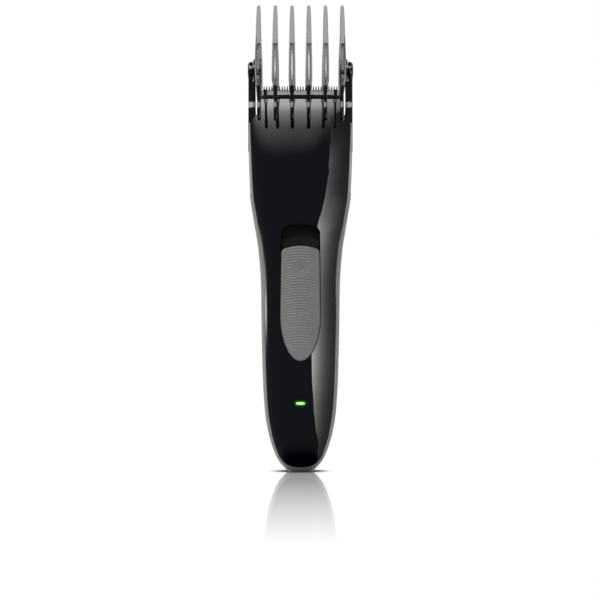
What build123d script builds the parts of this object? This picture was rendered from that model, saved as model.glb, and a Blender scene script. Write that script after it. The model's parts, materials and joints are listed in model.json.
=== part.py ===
from build123d import *
import math
import os

os.makedirs("parts", exist_ok=True)

# Cordless hair clipper with a pivoting comb attachment, in millimetres.
# It stands on its base: +Z runs along the handle to the comb's tips, the front faces -Y.
# Heights of the lower pieces count from the base, those of the cutting head from the head's rim.

# ---------------------------------------------------------------- driving dimensions
wall = 1.8                      # wall of both casing shells
fit_gap = 0.3                   # free space between pieces that move past each other
running_gap = 0.05              # radial clearance of a pin or shaft in its hole

casing_height = 168.4           # base to the rim of the head
base_half_width = 5.6
base_half_depth = 6.2
grip_half_width = 17.8
shoulder_half_width = 23.5
grip_front_depth = 16.6
grip_rear_depth = 14.2
rim_front_depth = 8.9
rim_rear_depth = 8.6

shoulder_step = 5.2             # shoulder's side in to where the head rises out of it
head_taper = 1.1
head_half_width = shoulder_half_width - shoulder_step
rim_half_width = head_half_width - head_taper
shoulder_fall = 7.4             # rim down to where the shoulders begin
shoulder_drop = 5.8             # height of the slanted shoulder
rim_flange_fall = 1.1           # rim down to the shells' upper edge, under the cutter frame's flange

# Sections of the casing: share of its height, half width, front depth, rear depth, squareness.
CASING_SECTIONS = [
    (0.000, base_half_width, base_half_depth, base_half_depth, 2.10),
    (0.012, 7.6, 8.2, 8.0, 2.10),
    (0.028, 9.8, 10.2, 9.8, 2.10),
    (0.055, 12.0, 12.2, 11.6, 2.15),
    (0.107, 14.6, 14.2, 13.2, 2.20),
    (0.160, 16.0, 15.1, 13.8, 2.20),
    (0.243, 16.9, 15.7, 14.1, 2.20),
    (0.380, 17.5, 16.1, 14.2, 2.20),
    (0.500, grip_half_width, grip_front_depth, grip_rear_depth, 2.25),
    (0.588, 18.9, 17.1, 14.3, 2.35),
    (0.671, shoulder_half_width - 2.4, 17.5, 14.5, 2.50),
    (0.736, shoulder_half_width - 0.8, 17.1, 14.5, 2.65),
    (0.831, shoulder_half_width - 0.2, 15.6, 14.2, 2.80),
    (0.909, shoulder_half_width, 13.4, 13.2, 2.80),
    (0.956, shoulder_half_width, 11.5, 11.5, 2.80),
    (1.000, shoulder_half_width, rim_front_depth, rim_rear_depth, 2.80),
]
loft_levels = 18                # sections the shells are lofted through
level_crowding = 1.6            # crowds the sections towards the rounded base
section_points = 20

# Line where the shells meet, seen from the side: depth behind the front, share of the height.
PARTING_LINE = [
    (-6.6, 1.01),
    (-6.6, 0.80),
    (-8.2, 0.70),
    (-9.4, 0.60),
    (-8.7, 0.50),
    (-7.5, 0.40),
    (-6.7, 0.30),
    (-6.5, 0.14),
    (-5.9, 0.055),
    (-6.5, 0.022),
    (-8.8, 0.009),
]

# On/off slider: a pad on a carriage, in a recess of the front shell.
pad_half_width = 8.9
pad_top_half_width = 8.5
pad_length = 51.2
pad_bottom = 49.8
pad_taper = 20.4                # height of the rounded lower end
pad_arch = 1.9                  # rise of the arched upper end
pad_corner = 1.3                # rounding of the corners beside the arch
pad_crown = 0.35                # how far the pad stands proud of the shell
switch_travel = 4.8
recess_side_gap = 0.25
recess_headroom = 9.8           # pad's top to the recess's top
recess_corner = 2.4
carriage_plate = 1.3
carriage_reach = 4.4            # carriage plate seen above the pad
tray_floor_depth = 12.6         # front face of the recess's floor, from the axis
tray_floor = 1.2
tray_rim = 1.6
stem_half_width = 2.5
stem_half_height = 3.0
stem_height = 81.0
dimple_radius = 4.0
dimple_depth = 0.5
dimple_fall = 10.0              # pad's top down to the dimple

# Charge light.
light_height = 31.0
light_width = 4.1
light_tall = 1.3

# Circuit board and slide switch.
board_front = 8.6               # front face of the board, from the axis
board_thickness = 1.2
board_half_width = 9.8
board_bottom = 24.0
board_overlap = 3.4             # board above the height where the motor's leads meet it
switch_body_height = 2.3
switch_body_half_width = 4.4
knob_half_width = 1.5
knob_half_height = 2.0

# Two cells side by side.
cell_radius = 5.25
cell_length = 44.5
cell_spacing = 10.8
cell_bottom = 19.0
cell_depth = 0.6
tab_thickness = 0.5
tab_half_width = 1.5

# Charging socket in the base, with two short pins.
socket_half_width = 3.6
socket_half_depth = 2.5
socket_wall = 0.8
socket_depth = 9.0
socket_floor = 2.6
socket_recess = 0.2
socket_pin_radius = 0.5
socket_pin_spacing = 3.4
socket_pin_reach = 4.1

# Inner chassis, screws and leads.
chassis_front = 6.4
chassis_plate = 1.2
chassis_half_width = 11.0
chassis_bottom = 27.0
boss_radius = 3.0
boss_reach = 7.0
screw_heights = (72.0, 92.0)
screw_radius = 1.1
screw_head_radius = 2.2
screw_head_height = 1.6
screw_seat_depth = 9.4
lead_radius = 0.5
lead_bend = 2.5
lead_drop = 4.0                 # motor's terminals down to where the leads turn forward

# Motor, with its shaft on the head's axis.
motor_axis_depth = -1.5
motor_radius = 10.0
motor_flat = 7.5
motor_wall = 1.2
motor_length = 31.4
motor_cap_length = 3.0
terminal_length = 3.0
bush_radius = 3.0
bush_length = 1.6
shaft_radius = 1.0
rotor_radius = 5.8
rotor_length = 18.0
motor_fall = 26.4               # rim down to the top face of the motor's can
shelf_plate = 1.6

# Cam and blades.
cam_radius = 4.0
cam_length = 5.5
cam_gap = 2.0
blade_throw = 1.0               # half of the cutter's stroke
cam_pin_radius = 1.2
cam_pin_length = 7.5
blade_gap = 0.05
blade_face = 0.35               # front face of the fixed blade, behind the axis
fixed_blade_thickness = 1.0
fixed_blade_half_width = rim_half_width + 0.2
fixed_blade_rise = 4.8          # rim up to the tips of the fixed teeth
moving_blade_thickness = 0.9
moving_blade_half_width = fixed_blade_half_width - 3.4
moving_tang_half_width = moving_blade_half_width - 2.0
moving_blade_rise = 4.3
tooth_length = 1.9
tooth_pitch = 1.17
tooth_root = 0.80
tooth_tip = 0.30
guide_width = 1.3
tang_half_width = fixed_blade_half_width - 4.4
tang_fall = 9.4
blade_fall = 5.0
yoke_bridge = 4.5
prong_width = 2.0
prong_length = 7.5
frame_fall = 11.4               # rim down to the underside of the cutter frame
frame_front_wall = 1.6
frame_flange_rise = 0.2         # rim up to the top of the frame's flange
blade_screw_radius = 0.9
blade_screw_head_radius = 1.6
blade_screw_spacing = 2 * (tang_half_width - 3.0)
blade_screw_fall = 7.2
blade_screw_length = 3.0        # behind the fixed blade

# Comb: six tines that fork over the cutting head.
tine_count = 6
outer_tine_offset = 0.45        # head's side out to the middle of the outermost tine
tine_pitch = 2 * (head_half_width + outer_tine_offset) / (tine_count - 1)
comb_rise = 41.1                # rim up to the tines' tips
comb_travel = 18.0
notch_rise = 24.0               # rim up to the roof of the fork
leg_front = 21.0                # outer face of the front legs, from the axis
leg_inner = 18.7
bar_inner = 17.5                # inner face of the rear crossbar
leg_fall = 10.9                 # rim down to the front legs' toes
bar_height = 3.5
foot_height = 5.0                # straight foot of a rear leg above the crossbar
tine_half_at_pivot = 1.0        # half thickness on the axis, at the pivot's height
tine_rear_growth = 0.026        # growth of it towards the rear
tine_top_thinning = 0.013       # loss of it towards the tips
knee_step = 0.8                 # how far a front leg steps back above its toe
web_gap = 0.4                   # head's side to the side webs
web_thickness = 1.0
ear_radius = 5.5

# Arms, pivots and the inner length carriage.
pivot_rise = 11.5               # rim up to the pivot
pivot_gap = 0.15                # between an ear and its knuckle
knuckle_radius = 4.4
knuckle_thickness = 2.4
knuckle_proud = 0.2             # how far the knuckles stand out of the shoulders
arm_thickness = 3.4
arm_inset = 0.1                 # shoulder's side to the arms' outer faces
arm_half_depth = 4.3
neck_half_depth = 3.4
neck_fall = 1.8                 # rim down to the foot of the arm's neck
neck_slope_fall = 5.8           # rim down to where the arm has its full depth
arm_fall = 25.1                 # rim down to the arms' lower ends
arm_flange = 1.0
arm_flange_half_depth = 5.4
arm_flange_top_fall = 13.9
pivot_pin_radius = 1.5
spring_ring_radius = 2.9
spring_wire = 0.35
spring_pocket_depth = 1.0
groove_side_gap = 0.3
arm_window = 1.1                # width of the arm's front edge that shows beside the front shell
liner_wall = 1.8
link_half_depth = 1.7
carriage_fall = 21.4            # rim down to the middle of the length carriage
carriage_half_height = 5.0
carriage_wing = 1.6
carriage_web = 1.4
carriage_web_depth = 7.0

# Length button on the back.
button_half_width = 5.0
button_half_height = 5.0
button_travel = 0.7
button_head = 1.6
button_neck_half_width = 1.5
button_neck_half_height = 3.0
button_foot = 1.4
button_foot_half_width = 3.6
button_foot_half_height = 3.4
leaf_thickness = 0.25
leaf_half_length = 3.2
leaf_half_height = 1.5
detent_steps = 6
detent_rib_height = 1.0
detent_rib_width = 1.4
detent_face = 11.0
tooth_half_height = 0.6

# ---------------------------------------------------------------- derived places
rim = casing_height
pivot_height = rim + pivot_rise
comb_top = rim + comb_rise
pad_top = pad_bottom + pad_length
board_back = board_front - board_thickness
chassis_back = chassis_front - chassis_plate
cell_top = cell_bottom + cell_length
motor_top = rim - motor_fall
motor_bottom = motor_top - motor_length
cap_bottom = motor_bottom - motor_cap_length
lead_height = cap_bottom - terminal_length - lead_drop
board_top = lead_height + board_overlap
cam_bottom = motor_top + bush_length + cam_gap
cam_top = cam_bottom + cam_length
shoulder_top = rim - shoulder_fall
shoulder_low = shoulder_top - shoulder_drop
shell_top = rim - rim_flange_fall
arm_outer = shoulder_half_width - arm_inset
arm_inner = arm_outer - arm_thickness
knuckle_outer = shoulder_half_width + knuckle_proud
knuckle_inner = knuckle_outer - knuckle_thickness
web_inner = head_half_width + web_gap
ear_outer = knuckle_inner - pivot_gap
groove_floor = arm_inner - groove_side_gap
liner_inner = groove_floor - liner_wall
arm_bottom = rim - arm_fall
groove_bottom = arm_bottom - comb_travel - groove_side_gap
carriage_height = rim - carriage_fall
tray_face = -tray_floor_depth
carriage_face = tray_face - fit_gap - carriage_plate
moving_face = blade_face - blade_gap - moving_blade_thickness
SIDES = (-1, 1)


# ---------------------------------------------------------------- helpers
def block(x_low, x_high, y_low, y_high, z_low, z_high):
    """Box between two corners."""
    corner = Pos((x_low + x_high) / 2, (y_low + y_high) / 2, (z_low + z_high) / 2)
    return corner * Box(x_high - x_low, y_high - y_low, z_high - z_low)


def rod_x(radius, x_low, x_high, y, z):
    return Pos((x_low + x_high) / 2, y, z) * Rot(0, 90, 0) * Cylinder(radius, x_high - x_low)


def rod_y(radius, y_low, y_high, x, z):
    return Pos(x, (y_low + y_high) / 2, z) * Rot(90, 0, 0) * Cylinder(radius, y_high - y_low)


def rod_z(radius, z_low, z_high, x, y):
    return Pos(x, y, (z_low + z_high) / 2) * Cylinder(radius, z_high - z_low)


def through_x(face, x_low, x_high):
    """Side-view face, drawn as (y, z), made solid between two values of x."""
    return extrude(Plane.YZ.offset(x_low) * face, x_high - x_low)


def through_y(face, y_low, y_high):
    """Front-view face, drawn as (x, z), made solid between two values of y."""
    return extrude(Plane.XZ.offset(-y_high) * face, y_high - y_low)


def through_z(face, z_low, z_high):
    return extrude(Plane.XY.offset(z_low) * face, z_high - z_low)


def polygon(*points):
    return make_face(Polyline(*points, close=True))


def one_solid(shape):
    """The largest solid of a shape: cuts can leave loose crumbs."""
    return shape.solids().sort_by(SortBy.VOLUME)[-1]


def both_sides(solid):
    """A piece on the +X side with its mirror image."""
    return solid + mirror(solid, Plane.YZ)


def smooth(rows, column):
    """Smooth curve through one column of a table, without overshoot between its rows."""
    keys = [row[0] for row in rows]
    values = [row[column] for row in rows]
    steps = [b - a for a, b in zip(keys, keys[1:])]
    slopes = [(b - a) / h for a, b, h in zip(values, values[1:], steps)]
    tangents = [slopes[0]]
    for i in range(1, len(steps)):
        before, after = slopes[i - 1], slopes[i]
        if before * after <= 0:
            tangents.append(0.0)
            continue
        w_before = steps[i - 1] + 2 * steps[i]
        w_after = 2 * steps[i - 1] + steps[i]
        tangents.append((w_before + w_after) / (w_before / after + w_after / before))
    tangents.append(slopes[-1])

    def value(key):
        i = 0
        while i < len(steps) - 1 and key > keys[i + 1]:
            i += 1
        h = steps[i]
        u = (key - keys[i]) / h
        start = (1 + 2 * u) * (1 - u) ** 2 * values[i] + u * (1 - u) ** 2 * h * tangents[i]
        end = u * u * (3 - 2 * u) * values[i + 1] + u * u * (u - 1) * h * tangents[i + 1]
        return start + end

    return value


width_curve, front_curve, rear_curve, square_curve = (smooth(CASING_SECTIONS, c) for c in (1, 2, 3, 4))


def front_depth(z):
    return front_curve(z / casing_height)


def rear_depth(z):
    return rear_curve(z / casing_height)


def casing_section(z, inset):
    """Rounded section of the casing at one height, drawn in by an inset."""
    share = z / casing_height
    power = 2 / square_curve(share)
    points = []
    for i in range(section_points):
        turn = 2 * math.pi * i / section_points
        c, s = math.cos(turn), math.sin(turn)
        depth = (rear_curve(share) if s > 0 else front_curve(share)) - inset
        x = (width_curve(share) - inset) * math.copysign(abs(c) ** power, c)
        points.append((x, depth * math.copysign(abs(s) ** power, s), z))
    return Face(Wire([Spline(points, periodic=True)]))


def casing_form(inset, z_low, z_high):
    """Solid of the casing's shape between two heights, drawn in by an inset."""
    levels = [casing_height * (i / loft_levels) ** level_crowding for i in range(loft_levels + 1)]
    near = (z_high - z_low) / loft_levels / 4
    inner = [z for z in levels if z_low + near < z < z_high - near]
    return loft([casing_section(z, inset) for z in [z_low] + inner + [z_high]])


def beyond_shoulders(inset):
    """What the shoulders and the narrow head leave away on both sides."""
    far, above = shoulder_half_width + 5, rim + 5
    slope_end = (far, shoulder_low - inset - (far - shoulder_half_width))
    side = polygon(
        (rim_half_width - inset, above),
        (rim_half_width - inset, rim),
        (head_half_width - inset, shoulder_top - inset / 2),
        slope_end,
        (far, above),
    )
    return both_sides(through_y(side, -30, 30))


# ---------------------------------------------------------------- casing
outer = casing_form(0, 0, shell_top) - beyond_shoulders(0)
cavity = casing_form(wall, wall, rim + 1) - beyond_shoulders(wall)


def rear_region():
    """Everything behind the line where the two shells meet."""
    line = Spline(*[(depth, share * rim) for depth, share in PARTING_LINE])
    low, high = PARTING_LINE[-1][1] * rim, PARTING_LINE[0][1] * rim
    ends = Polyline(line @ 1, (-40, low), (-40, -5), (40, -5), (40, high), line @ 0)
    return through_x(make_face([line, ends]), -40, 40)


def round_top_corners(face, radius):
    """A front-view outline with the two corners beside its arched top rounded."""
    corners = face.vertices().sort_by(Axis.Y)[-2:]
    return fillet(corners, radius)


def slider_outline(grow, top_rise=0.0):
    """Outline of the slider's pad from the front, grown all round and made taller."""
    half, top_half = pad_half_width + grow, pad_top_half_width + grow
    top = pad_top + top_rise
    side = top - pad_arch
    waist = pad_bottom + pad_taper
    arch = ThreePointArc((-top_half, side), (0, top), (top_half, side))
    right = Line((top_half, side), (half, waist))
    tongue = EllipticalCenterArc((0, waist), half, pad_taper + grow, start_angle=180, arc_size=180)
    left = Line((-half, waist), (-top_half, side))
    return round_top_corners(make_face([arch, right, tongue, left]), pad_corner)


def recess_outline(grow):
    """Outline of the recess: the pad's own, straight up to its arched top."""
    half = pad_half_width + recess_side_gap + grow
    top = pad_top + recess_headroom + grow
    side = top - pad_arch
    waist = pad_bottom + pad_taper
    arch = ThreePointArc((-half, side), (0, top), (half, side))
    right = Line((half, side), (half, waist))
    drop = pad_taper + recess_side_gap + grow
    tongue = EllipticalCenterArc((0, waist), half, drop, start_angle=180, arc_size=180)
    left = Line((-half, waist), (-half, side))
    return round_top_corners(make_face([arch, right, tongue, left]), recess_corner)


def groove(side):
    """Space that an arm and its flange slide in, open to the side and at the shoulder."""
    top = shoulder_top + 2
    slot_half = arm_half_depth + groove_side_gap
    flange_half = arm_flange_half_depth + groove_side_gap
    far = shoulder_half_width + 5
    slot = block(groove_floor, far, -slot_half, slot_half, groove_bottom, top)
    undercut = block(
        groove_floor, arm_inner + arm_flange + groove_side_gap, -flange_half, flange_half, groove_bottom, top
    )
    ear_low = pivot_height - ear_radius - comb_travel - 2 * groove_side_gap
    ear_half = ear_radius + 2 * groove_side_gap
    ear_room = block(web_inner - fit_gap, far, -ear_half, ear_half, ear_low, top)
    room = slot + undercut + ear_room
    return room if side > 0 else mirror(room, Plane.YZ)


def arm_sight(side):
    """Part of the groove's front lip left away, so that the arm's front edge shows."""
    sight = block(
        shoulder_half_width - arm_window, shoulder_half_width + 5, -rim_front_depth, -arm_half_depth,
        arm_bottom, shoulder_top + 2,
    )
    return sight if side > 0 else mirror(sight, Plane.YZ)


def link_slot(side):
    """Slot in a groove's floor for the link to the inner carriage."""
    half = link_half_depth + groove_side_gap
    low = carriage_height - carriage_half_height - comb_travel - groove_side_gap
    high = carriage_height + carriage_half_height + groove_side_gap
    slot = block(liner_inner - 1, groove_floor + 1, -half, half, low, high)
    return slot if side > 0 else mirror(slot, Plane.YZ)


def screw_hole(height):
    seat = rod_y(screw_head_radius + fit_gap, screw_seat_depth, 30, 0, height)
    return seat + rod_y(screw_radius + 0.1, 0, 30, 0, height)


def selector_slot():
    """Slot in the back that the length button's neck runs in."""
    half = button_neck_half_width + fit_gap
    low = carriage_height - button_neck_half_height - comb_travel - fit_gap
    high = carriage_height + button_neck_half_height + fit_gap
    return block(-half, half, carriage_web_depth, 30, low, high)


def detent_ribs():
    """Ribs on both sides of the selector slot, one between each two length steps."""
    step = comb_travel / detent_steps
    inner = button_neck_half_width + fit_gap + 0.2
    ribs = Part()
    for i in range(detent_steps + 1):
        middle = carriage_height + step / 2 - i * step
        low, high = middle - detent_rib_height / 2, middle + detent_rib_height / 2
        rib = block(inner, inner + detent_rib_width, detent_face, rear_depth(middle) - wall / 2, low, high)
        ribs += both_sides(rib)
    return ribs


def rear_casing():
    liner_half = arm_flange_half_depth + groove_side_gap + liner_wall
    liner = block(liner_inner, 40, -liner_half, liner_half, groove_bottom - liner_wall, shoulder_top + 2)
    bosses = [
        rod_y(boss_radius, boss_reach, rear_depth(height) - wall / 2, 0, height) for height in screw_heights
    ]
    socket_hole = block(
        -socket_half_width - socket_wall, socket_half_width + socket_wall,
        -socket_half_depth - socket_wall, socket_half_depth + socket_wall, -1, socket_depth,
    )
    hollow = cavity - [both_sides(liner), detent_ribs()] - bosses
    cuts = [selector_slot(), socket_hole] + [screw_hole(height) for height in screw_heights]
    for side in SIDES:
        cuts += [groove(side), arm_sight(side), link_slot(side)]
    return one_solid((outer & rear_region()) - [hollow, *cuts])


def light_slot():
    return through_y(Pos(0, light_height) * SlotOverall(light_width, light_tall), -40, -board_front - 2)


def front_casing():
    recess = through_y(recess_outline(0), -40, 0)
    return one_solid(outer - [rear_region(), cavity, groove(1), groove(-1), recess, light_slot()])


# ---------------------------------------------------------------- slider
def switch_tray():
    """Floor of the recess, with a rim that meets the shell from inside."""
    cup = through_y(recess_outline(tray_rim), -40, tray_face + tray_floor) & cavity
    cup -= through_y(recess_outline(0), -40, tray_face)
    slot_half = stem_half_width + fit_gap
    low = stem_height - stem_half_height - fit_gap
    high = stem_height + stem_half_height + switch_travel + fit_gap
    cup -= block(-slot_half, slot_half, tray_face - 1, 0, low, high)
    return one_solid(cup)


def slider_base():
    """Carriage under the pad: a plate with a stem through the tray."""
    plate = through_y(slider_outline(-0.4, carriage_reach), carriage_face, carriage_face + carriage_plate)
    stem_end = -board_front - switch_body_height - 0.2
    stem = block(
        -stem_half_width, stem_half_width, carriage_face + carriage_plate, stem_end,
        stem_height - stem_half_height, stem_height + stem_half_height,
    )
    return one_solid(plate + stem)


def slider_grip():
    """Soft pad with a crowned face and a round dimple."""
    skin = casing_form(-pad_crown, pad_bottom - 5, pad_top + 5)
    pad = through_y(slider_outline(0), -40, carriage_face) & skin
    face = front_depth(pad_top - dimple_fall) + pad_crown
    ball = (dimple_radius ** 2 + dimple_depth ** 2) / (2 * dimple_depth)
    pad -= Pos(0, -face - ball + dimple_depth, pad_top - dimple_fall) * Sphere(ball)
    return one_solid(pad)


def switch_contact():
    stem_end = -board_front - switch_body_height - 0.2
    return block(
        -knob_half_width, knob_half_width, stem_end, -board_front - 0.8,
        stem_height - knob_half_height, stem_height + knob_half_height,
    )


def slide_switch_body():
    low, high = stem_height - knob_half_height, stem_height + knob_half_height + switch_travel
    body = block(
        -switch_body_half_width, switch_body_half_width, -board_front - switch_body_height, -board_front,
        low - 3, high + 3,
    )
    half = knob_half_width + fit_gap
    channel = block(-half, half, -30, -board_front - 0.5, low - fit_gap, high + fit_gap)
    return body - channel


# ---------------------------------------------------------------- charge light
def led_lens():
    skin = casing_form(0, light_height - 8, light_height + 8)
    slot = through_y(Pos(0, light_height) * SlotOverall(light_width, light_tall), -40, -board_front - 2.2)
    return one_solid(slot & skin)


def charge_led():
    return block(-1.6, 1.6, -board_front - 2, -board_front, light_height - 0.9, light_height + 0.9)


# ---------------------------------------------------------------- electrics
def circuit_board():
    board = block(
        -board_half_width, board_half_width, -board_front, -board_back, board_bottom, board_top
    )
    corners = board.edges().filter_by(Axis.Y)
    return fillet(corners, 1.5)


def cell_axes():
    return [(side * cell_spacing / 2, cell_depth) for side in SIDES]


def battery_cells():
    """Two cells, each with the raised button of its pole."""
    cells = Part()
    for x, y in cell_axes():
        can = rod_z(cell_radius, cell_bottom, cell_top - 0.8, x, y)
        edges = can.edges().filter_by(GeomType.CIRCLE)
        can = fillet(edges, 0.5)
        cells += can + rod_z(2.0, cell_top - 0.8, cell_top, x, y)
    return cells


def battery_contacts():
    """Link under the cells and a tab from each pole to the board."""
    reach = cell_spacing / 2 + tab_half_width
    link = block(-reach, reach, cell_depth - 2, cell_depth + 2, cell_bottom - tab_thickness, cell_bottom)
    tabs = link
    tab_top = cell_top + tab_thickness
    for x, y in cell_axes():
        tabs += block(x - tab_half_width, x + tab_half_width, -board_back, y + 2, cell_top, tab_top)
    return tabs


def charging_socket():
    """Insert in the base, open downwards."""
    half_x, half_y = socket_half_width + socket_wall, socket_half_depth + socket_wall
    body = block(-half_x, half_x, -half_y, half_y, socket_recess, socket_depth + socket_floor)
    body -= block(
        -socket_half_width, socket_half_width, -socket_half_depth, socket_half_depth, -1, socket_depth
    )
    for side in SIDES:
        body -= rod_z(socket_pin_radius, socket_depth - 1, 20, side * socket_pin_spacing / 2, 0)
    return body


def socket_pins():
    pins = Part()
    low, high = socket_depth - socket_pin_reach, socket_depth + socket_floor
    for side in SIDES:
        pins += rod_z(socket_pin_radius, low, high, side * socket_pin_spacing / 2, 0)
    return pins


def lead(points, radii):
    """Insulated wire along straight runs and tangent arcs."""
    path = FilletPolyline(*points, radius=radii)
    start = Plane(path @ 0, z_dir=path % 0)
    return sweep(start * Circle(lead_radius), path=path)


def charge_leads():
    """From the socket's pins to the lower edge of the board."""
    start = socket_depth + socket_floor
    edge = -(board_front + board_back) / 2
    leads = Part()
    for side in SIDES:
        x = side * socket_pin_spacing / 2
        points = [(x, 0, start), (x, 0, start + 3), (x, edge, board_bottom - 4), (x, edge, board_bottom)]
        leads += lead(points, [lead_bend, lead_bend])
    return leads


def motor_leads():
    """From the motor's terminals forward to the back of the board."""
    leads = Part()
    start = cap_bottom - terminal_length
    for side in SIDES:
        x = side * motor_radius / 2
        points = [
            (x, motor_axis_depth, start), (x, motor_axis_depth, lead_height), (x, -board_back, lead_height)
        ]
        leads += lead(points, [lead_bend])
    return leads


# ---------------------------------------------------------------- chassis and fasteners
def motor_outline(grow):
    flat = Rectangle(2 * (motor_radius + grow), 2 * (motor_flat + grow))
    return Pos(0, motor_axis_depth) * (Circle(motor_radius + grow) & flat)


def inner_chassis():
    """Plate behind the board, screw bosses, and a shelf, two posts and a bracket for the motor."""
    plate = block(
        -chassis_half_width, chassis_half_width, -chassis_front, -chassis_back, chassis_bottom, cap_bottom
    )
    tab_room = cell_spacing / 2 + tab_half_width + fit_gap
    plate -= block(-tab_room, tab_room, -20, 0, cell_top - fit_gap, cell_top + tab_thickness + fit_gap)
    lead_room = motor_radius / 2 + 3 * lead_radius + fit_gap
    plate -= block(-lead_room, lead_room, -20, 0, cap_bottom - 10, cap_bottom + 1)
    for height in screw_heights:
        plate += rod_y(boss_radius, -chassis_back, boss_reach, 0, height)
        plate -= rod_y(screw_radius, -chassis_back + 1, boss_reach + 1, 0, height)
    post_in = motor_radius + fit_gap
    post_out = post_in + shelf_plate
    shelf = block(-post_out, post_out, -chassis_front - 2, 6.5, cap_bottom - shelf_plate, cap_bottom)
    for side in SIDES:
        shelf -= block(
            side * motor_radius / 2 - 1.5, side * motor_radius / 2 + 1.5, -3, 0, cap_bottom - 5, cap_bottom + 1
        )
    post = block(post_in, post_out, -5, 2, cap_bottom - shelf_plate, motor_top + bush_length)
    bracket = block(-post_out, post_out, -5, 2, motor_top, motor_top + bush_length)
    bracket -= rod_z(bush_radius + running_gap, motor_top - 1, motor_top + 5, 0, motor_axis_depth)
    return one_solid(plate + shelf + both_sides(post) + bracket)


def casing_screws():
    screws = Part()
    for height in screw_heights:
        head = rod_y(screw_head_radius, screw_seat_depth, screw_seat_depth + screw_head_height, 0, height)
        slot = block(-0.4, 0.4, screw_seat_depth + 1, 30, height - 1.4, height + 1.4)
        slot += block(-1.4, 1.4, screw_seat_depth + 1, 30, height - 0.4, height + 0.4)
        shank = rod_y(screw_radius, -chassis_back + 1.2, screw_seat_depth, 0, height)
        screws += (head - slot) + shank
    return screws


# ---------------------------------------------------------------- motor
def motor_can():
    can = through_z(motor_outline(0), motor_bottom, motor_top)
    can -= through_z(motor_outline(-motor_wall), motor_bottom - 1, motor_top - motor_wall)
    can -= rod_z(shaft_radius + running_gap + 0.4, motor_bottom, motor_top + 1, 0, motor_axis_depth)
    return can


def motor_end_cap():
    cap = through_z(motor_outline(0), cap_bottom, motor_bottom)
    cap -= rod_z(shaft_radius + running_gap, cap_bottom + 1, motor_bottom + 1, 0, motor_axis_depth)
    return cap


def motor_terminals():
    tabs = Part()
    front, back = motor_axis_depth - tab_thickness / 2, motor_axis_depth + tab_thickness / 2
    for side in SIDES:
        x = side * motor_radius / 2
        tabs += block(x - 0.9, x + 0.9, front, back, cap_bottom - terminal_length, cap_bottom)
    return tabs


def motor_bush():
    ring = rod_z(bush_radius, motor_top, motor_top + bush_length, 0, motor_axis_depth)
    return ring - rod_z(shaft_radius + running_gap, motor_top - 1, motor_top + 5, 0, motor_axis_depth)


def motor_shaft():
    return rod_z(shaft_radius, cap_bottom + 1.2, cam_top, 0, motor_axis_depth)


def rotor_core():
    """Three-pole core on the shaft."""
    middle = (motor_bottom + motor_top) / 2
    core = rod_z(rotor_radius, middle - rotor_length / 2, middle + rotor_length / 2, 0, motor_axis_depth)
    for i in range(3):
        slot = Rot(0, 0, 120 * i) * block(rotor_radius / 2, rotor_radius + 1, -0.8, 0.8, -20, 20)
        core -= Pos(0, motor_axis_depth, middle) * slot
    return core - rod_z(shaft_radius, cap_bottom, rim, 0, motor_axis_depth)


def eccentric_cam():
    """Cam on the shaft, its pin off the axis by the blade's throw."""
    hub = rod_z(cam_radius, cam_bottom, cam_top, 0, motor_axis_depth)
    hub -= rod_z(shaft_radius, cam_bottom - 1, cam_top, 0, motor_axis_depth)
    hub += rod_z(cam_radius, cam_top, cam_top + 0.8, 0, motor_axis_depth)
    pin = rod_z(cam_pin_radius, cam_top, cam_top + cam_pin_length, 0, motor_axis_depth - blade_throw)
    return hub + pin


# ---------------------------------------------------------------- cutting unit
def tooth_row(half_width, low, top):
    """Front-view outline of a row of tapered teeth."""
    count = int(2 * half_width / tooth_pitch)
    first = -(count - 1) * tooth_pitch / 2
    teeth = Sketch()
    for i in range(count):
        x = first + i * tooth_pitch
        teeth += polygon(
            (x - tooth_root / 2, low - 0.2), (x + tooth_root / 2, low - 0.2),
            (x + tooth_tip / 2, top), (x - tooth_tip / 2, top),
        )
    return teeth


def fixed_blade():
    top = rim + fixed_blade_rise
    root = top - tooth_length
    plate = Pos(0, (rim + 0.3 + root) / 2) * Rectangle(2 * fixed_blade_half_width, root - rim - 0.3)
    tang_low = rim - tang_fall
    tang = Pos(0, (tang_low + rim + 0.5) / 2) * Rectangle(2 * tang_half_width, rim + 0.5 - tang_low)
    blade = through_y(
        plate + tang + tooth_row(fixed_blade_half_width, root, top),
        blade_face, blade_face + fixed_blade_thickness,
    )
    for side in SIDES:
        hole = rod_y(blade_screw_radius, -2, 5, side * blade_screw_spacing / 2, rim - blade_screw_fall)
        blade -= hole
    return one_solid(blade)


def moving_blade():
    """Cutter with a narrower tang that goes down through the frame's flange."""
    top = rim + moving_blade_rise
    root = top - tooth_length
    low = rim - blade_fall
    shoulder = rim + frame_flange_rise + fit_gap
    plate = Pos(0, (shoulder + root) / 2) * Rectangle(2 * moving_blade_half_width, root - shoulder)
    tang = Pos(0, (low + root) / 2) * Rectangle(2 * moving_tang_half_width, root - low)
    outline = plate + tang + tooth_row(moving_blade_half_width, root, top)
    return one_solid(through_y(outline, moving_face, moving_face + moving_blade_thickness))


def blade_guides():
    start = moving_blade_half_width + blade_throw + 0.15
    low, high = rim + 0.4, rim + 3.2
    return both_sides(block(start, start + guide_width, moving_face, blade_face, low, high))


def drive_yoke():
    """Fork on the moving blade; its slot clears the pin's whole sweep at any place of the blade."""
    half = cam_pin_radius + 2 * blade_throw + 0.2
    out = half + prong_width
    bridge_low = cam_top + cam_pin_length + 1.2
    front = motor_axis_depth - 2
    prong = block(half, out, front, -fit_gap, bridge_low - prong_length, bridge_low)
    bridge = block(-out, out, front, -fit_gap, bridge_low, bridge_low + 2)
    backing = block(-out, out, front, moving_face, bridge_low, bridge_low + yoke_bridge)
    return one_solid(both_sides(prong) + (bridge & block(-30, 30, -30, moving_face, 0, rim)) + backing)


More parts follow.
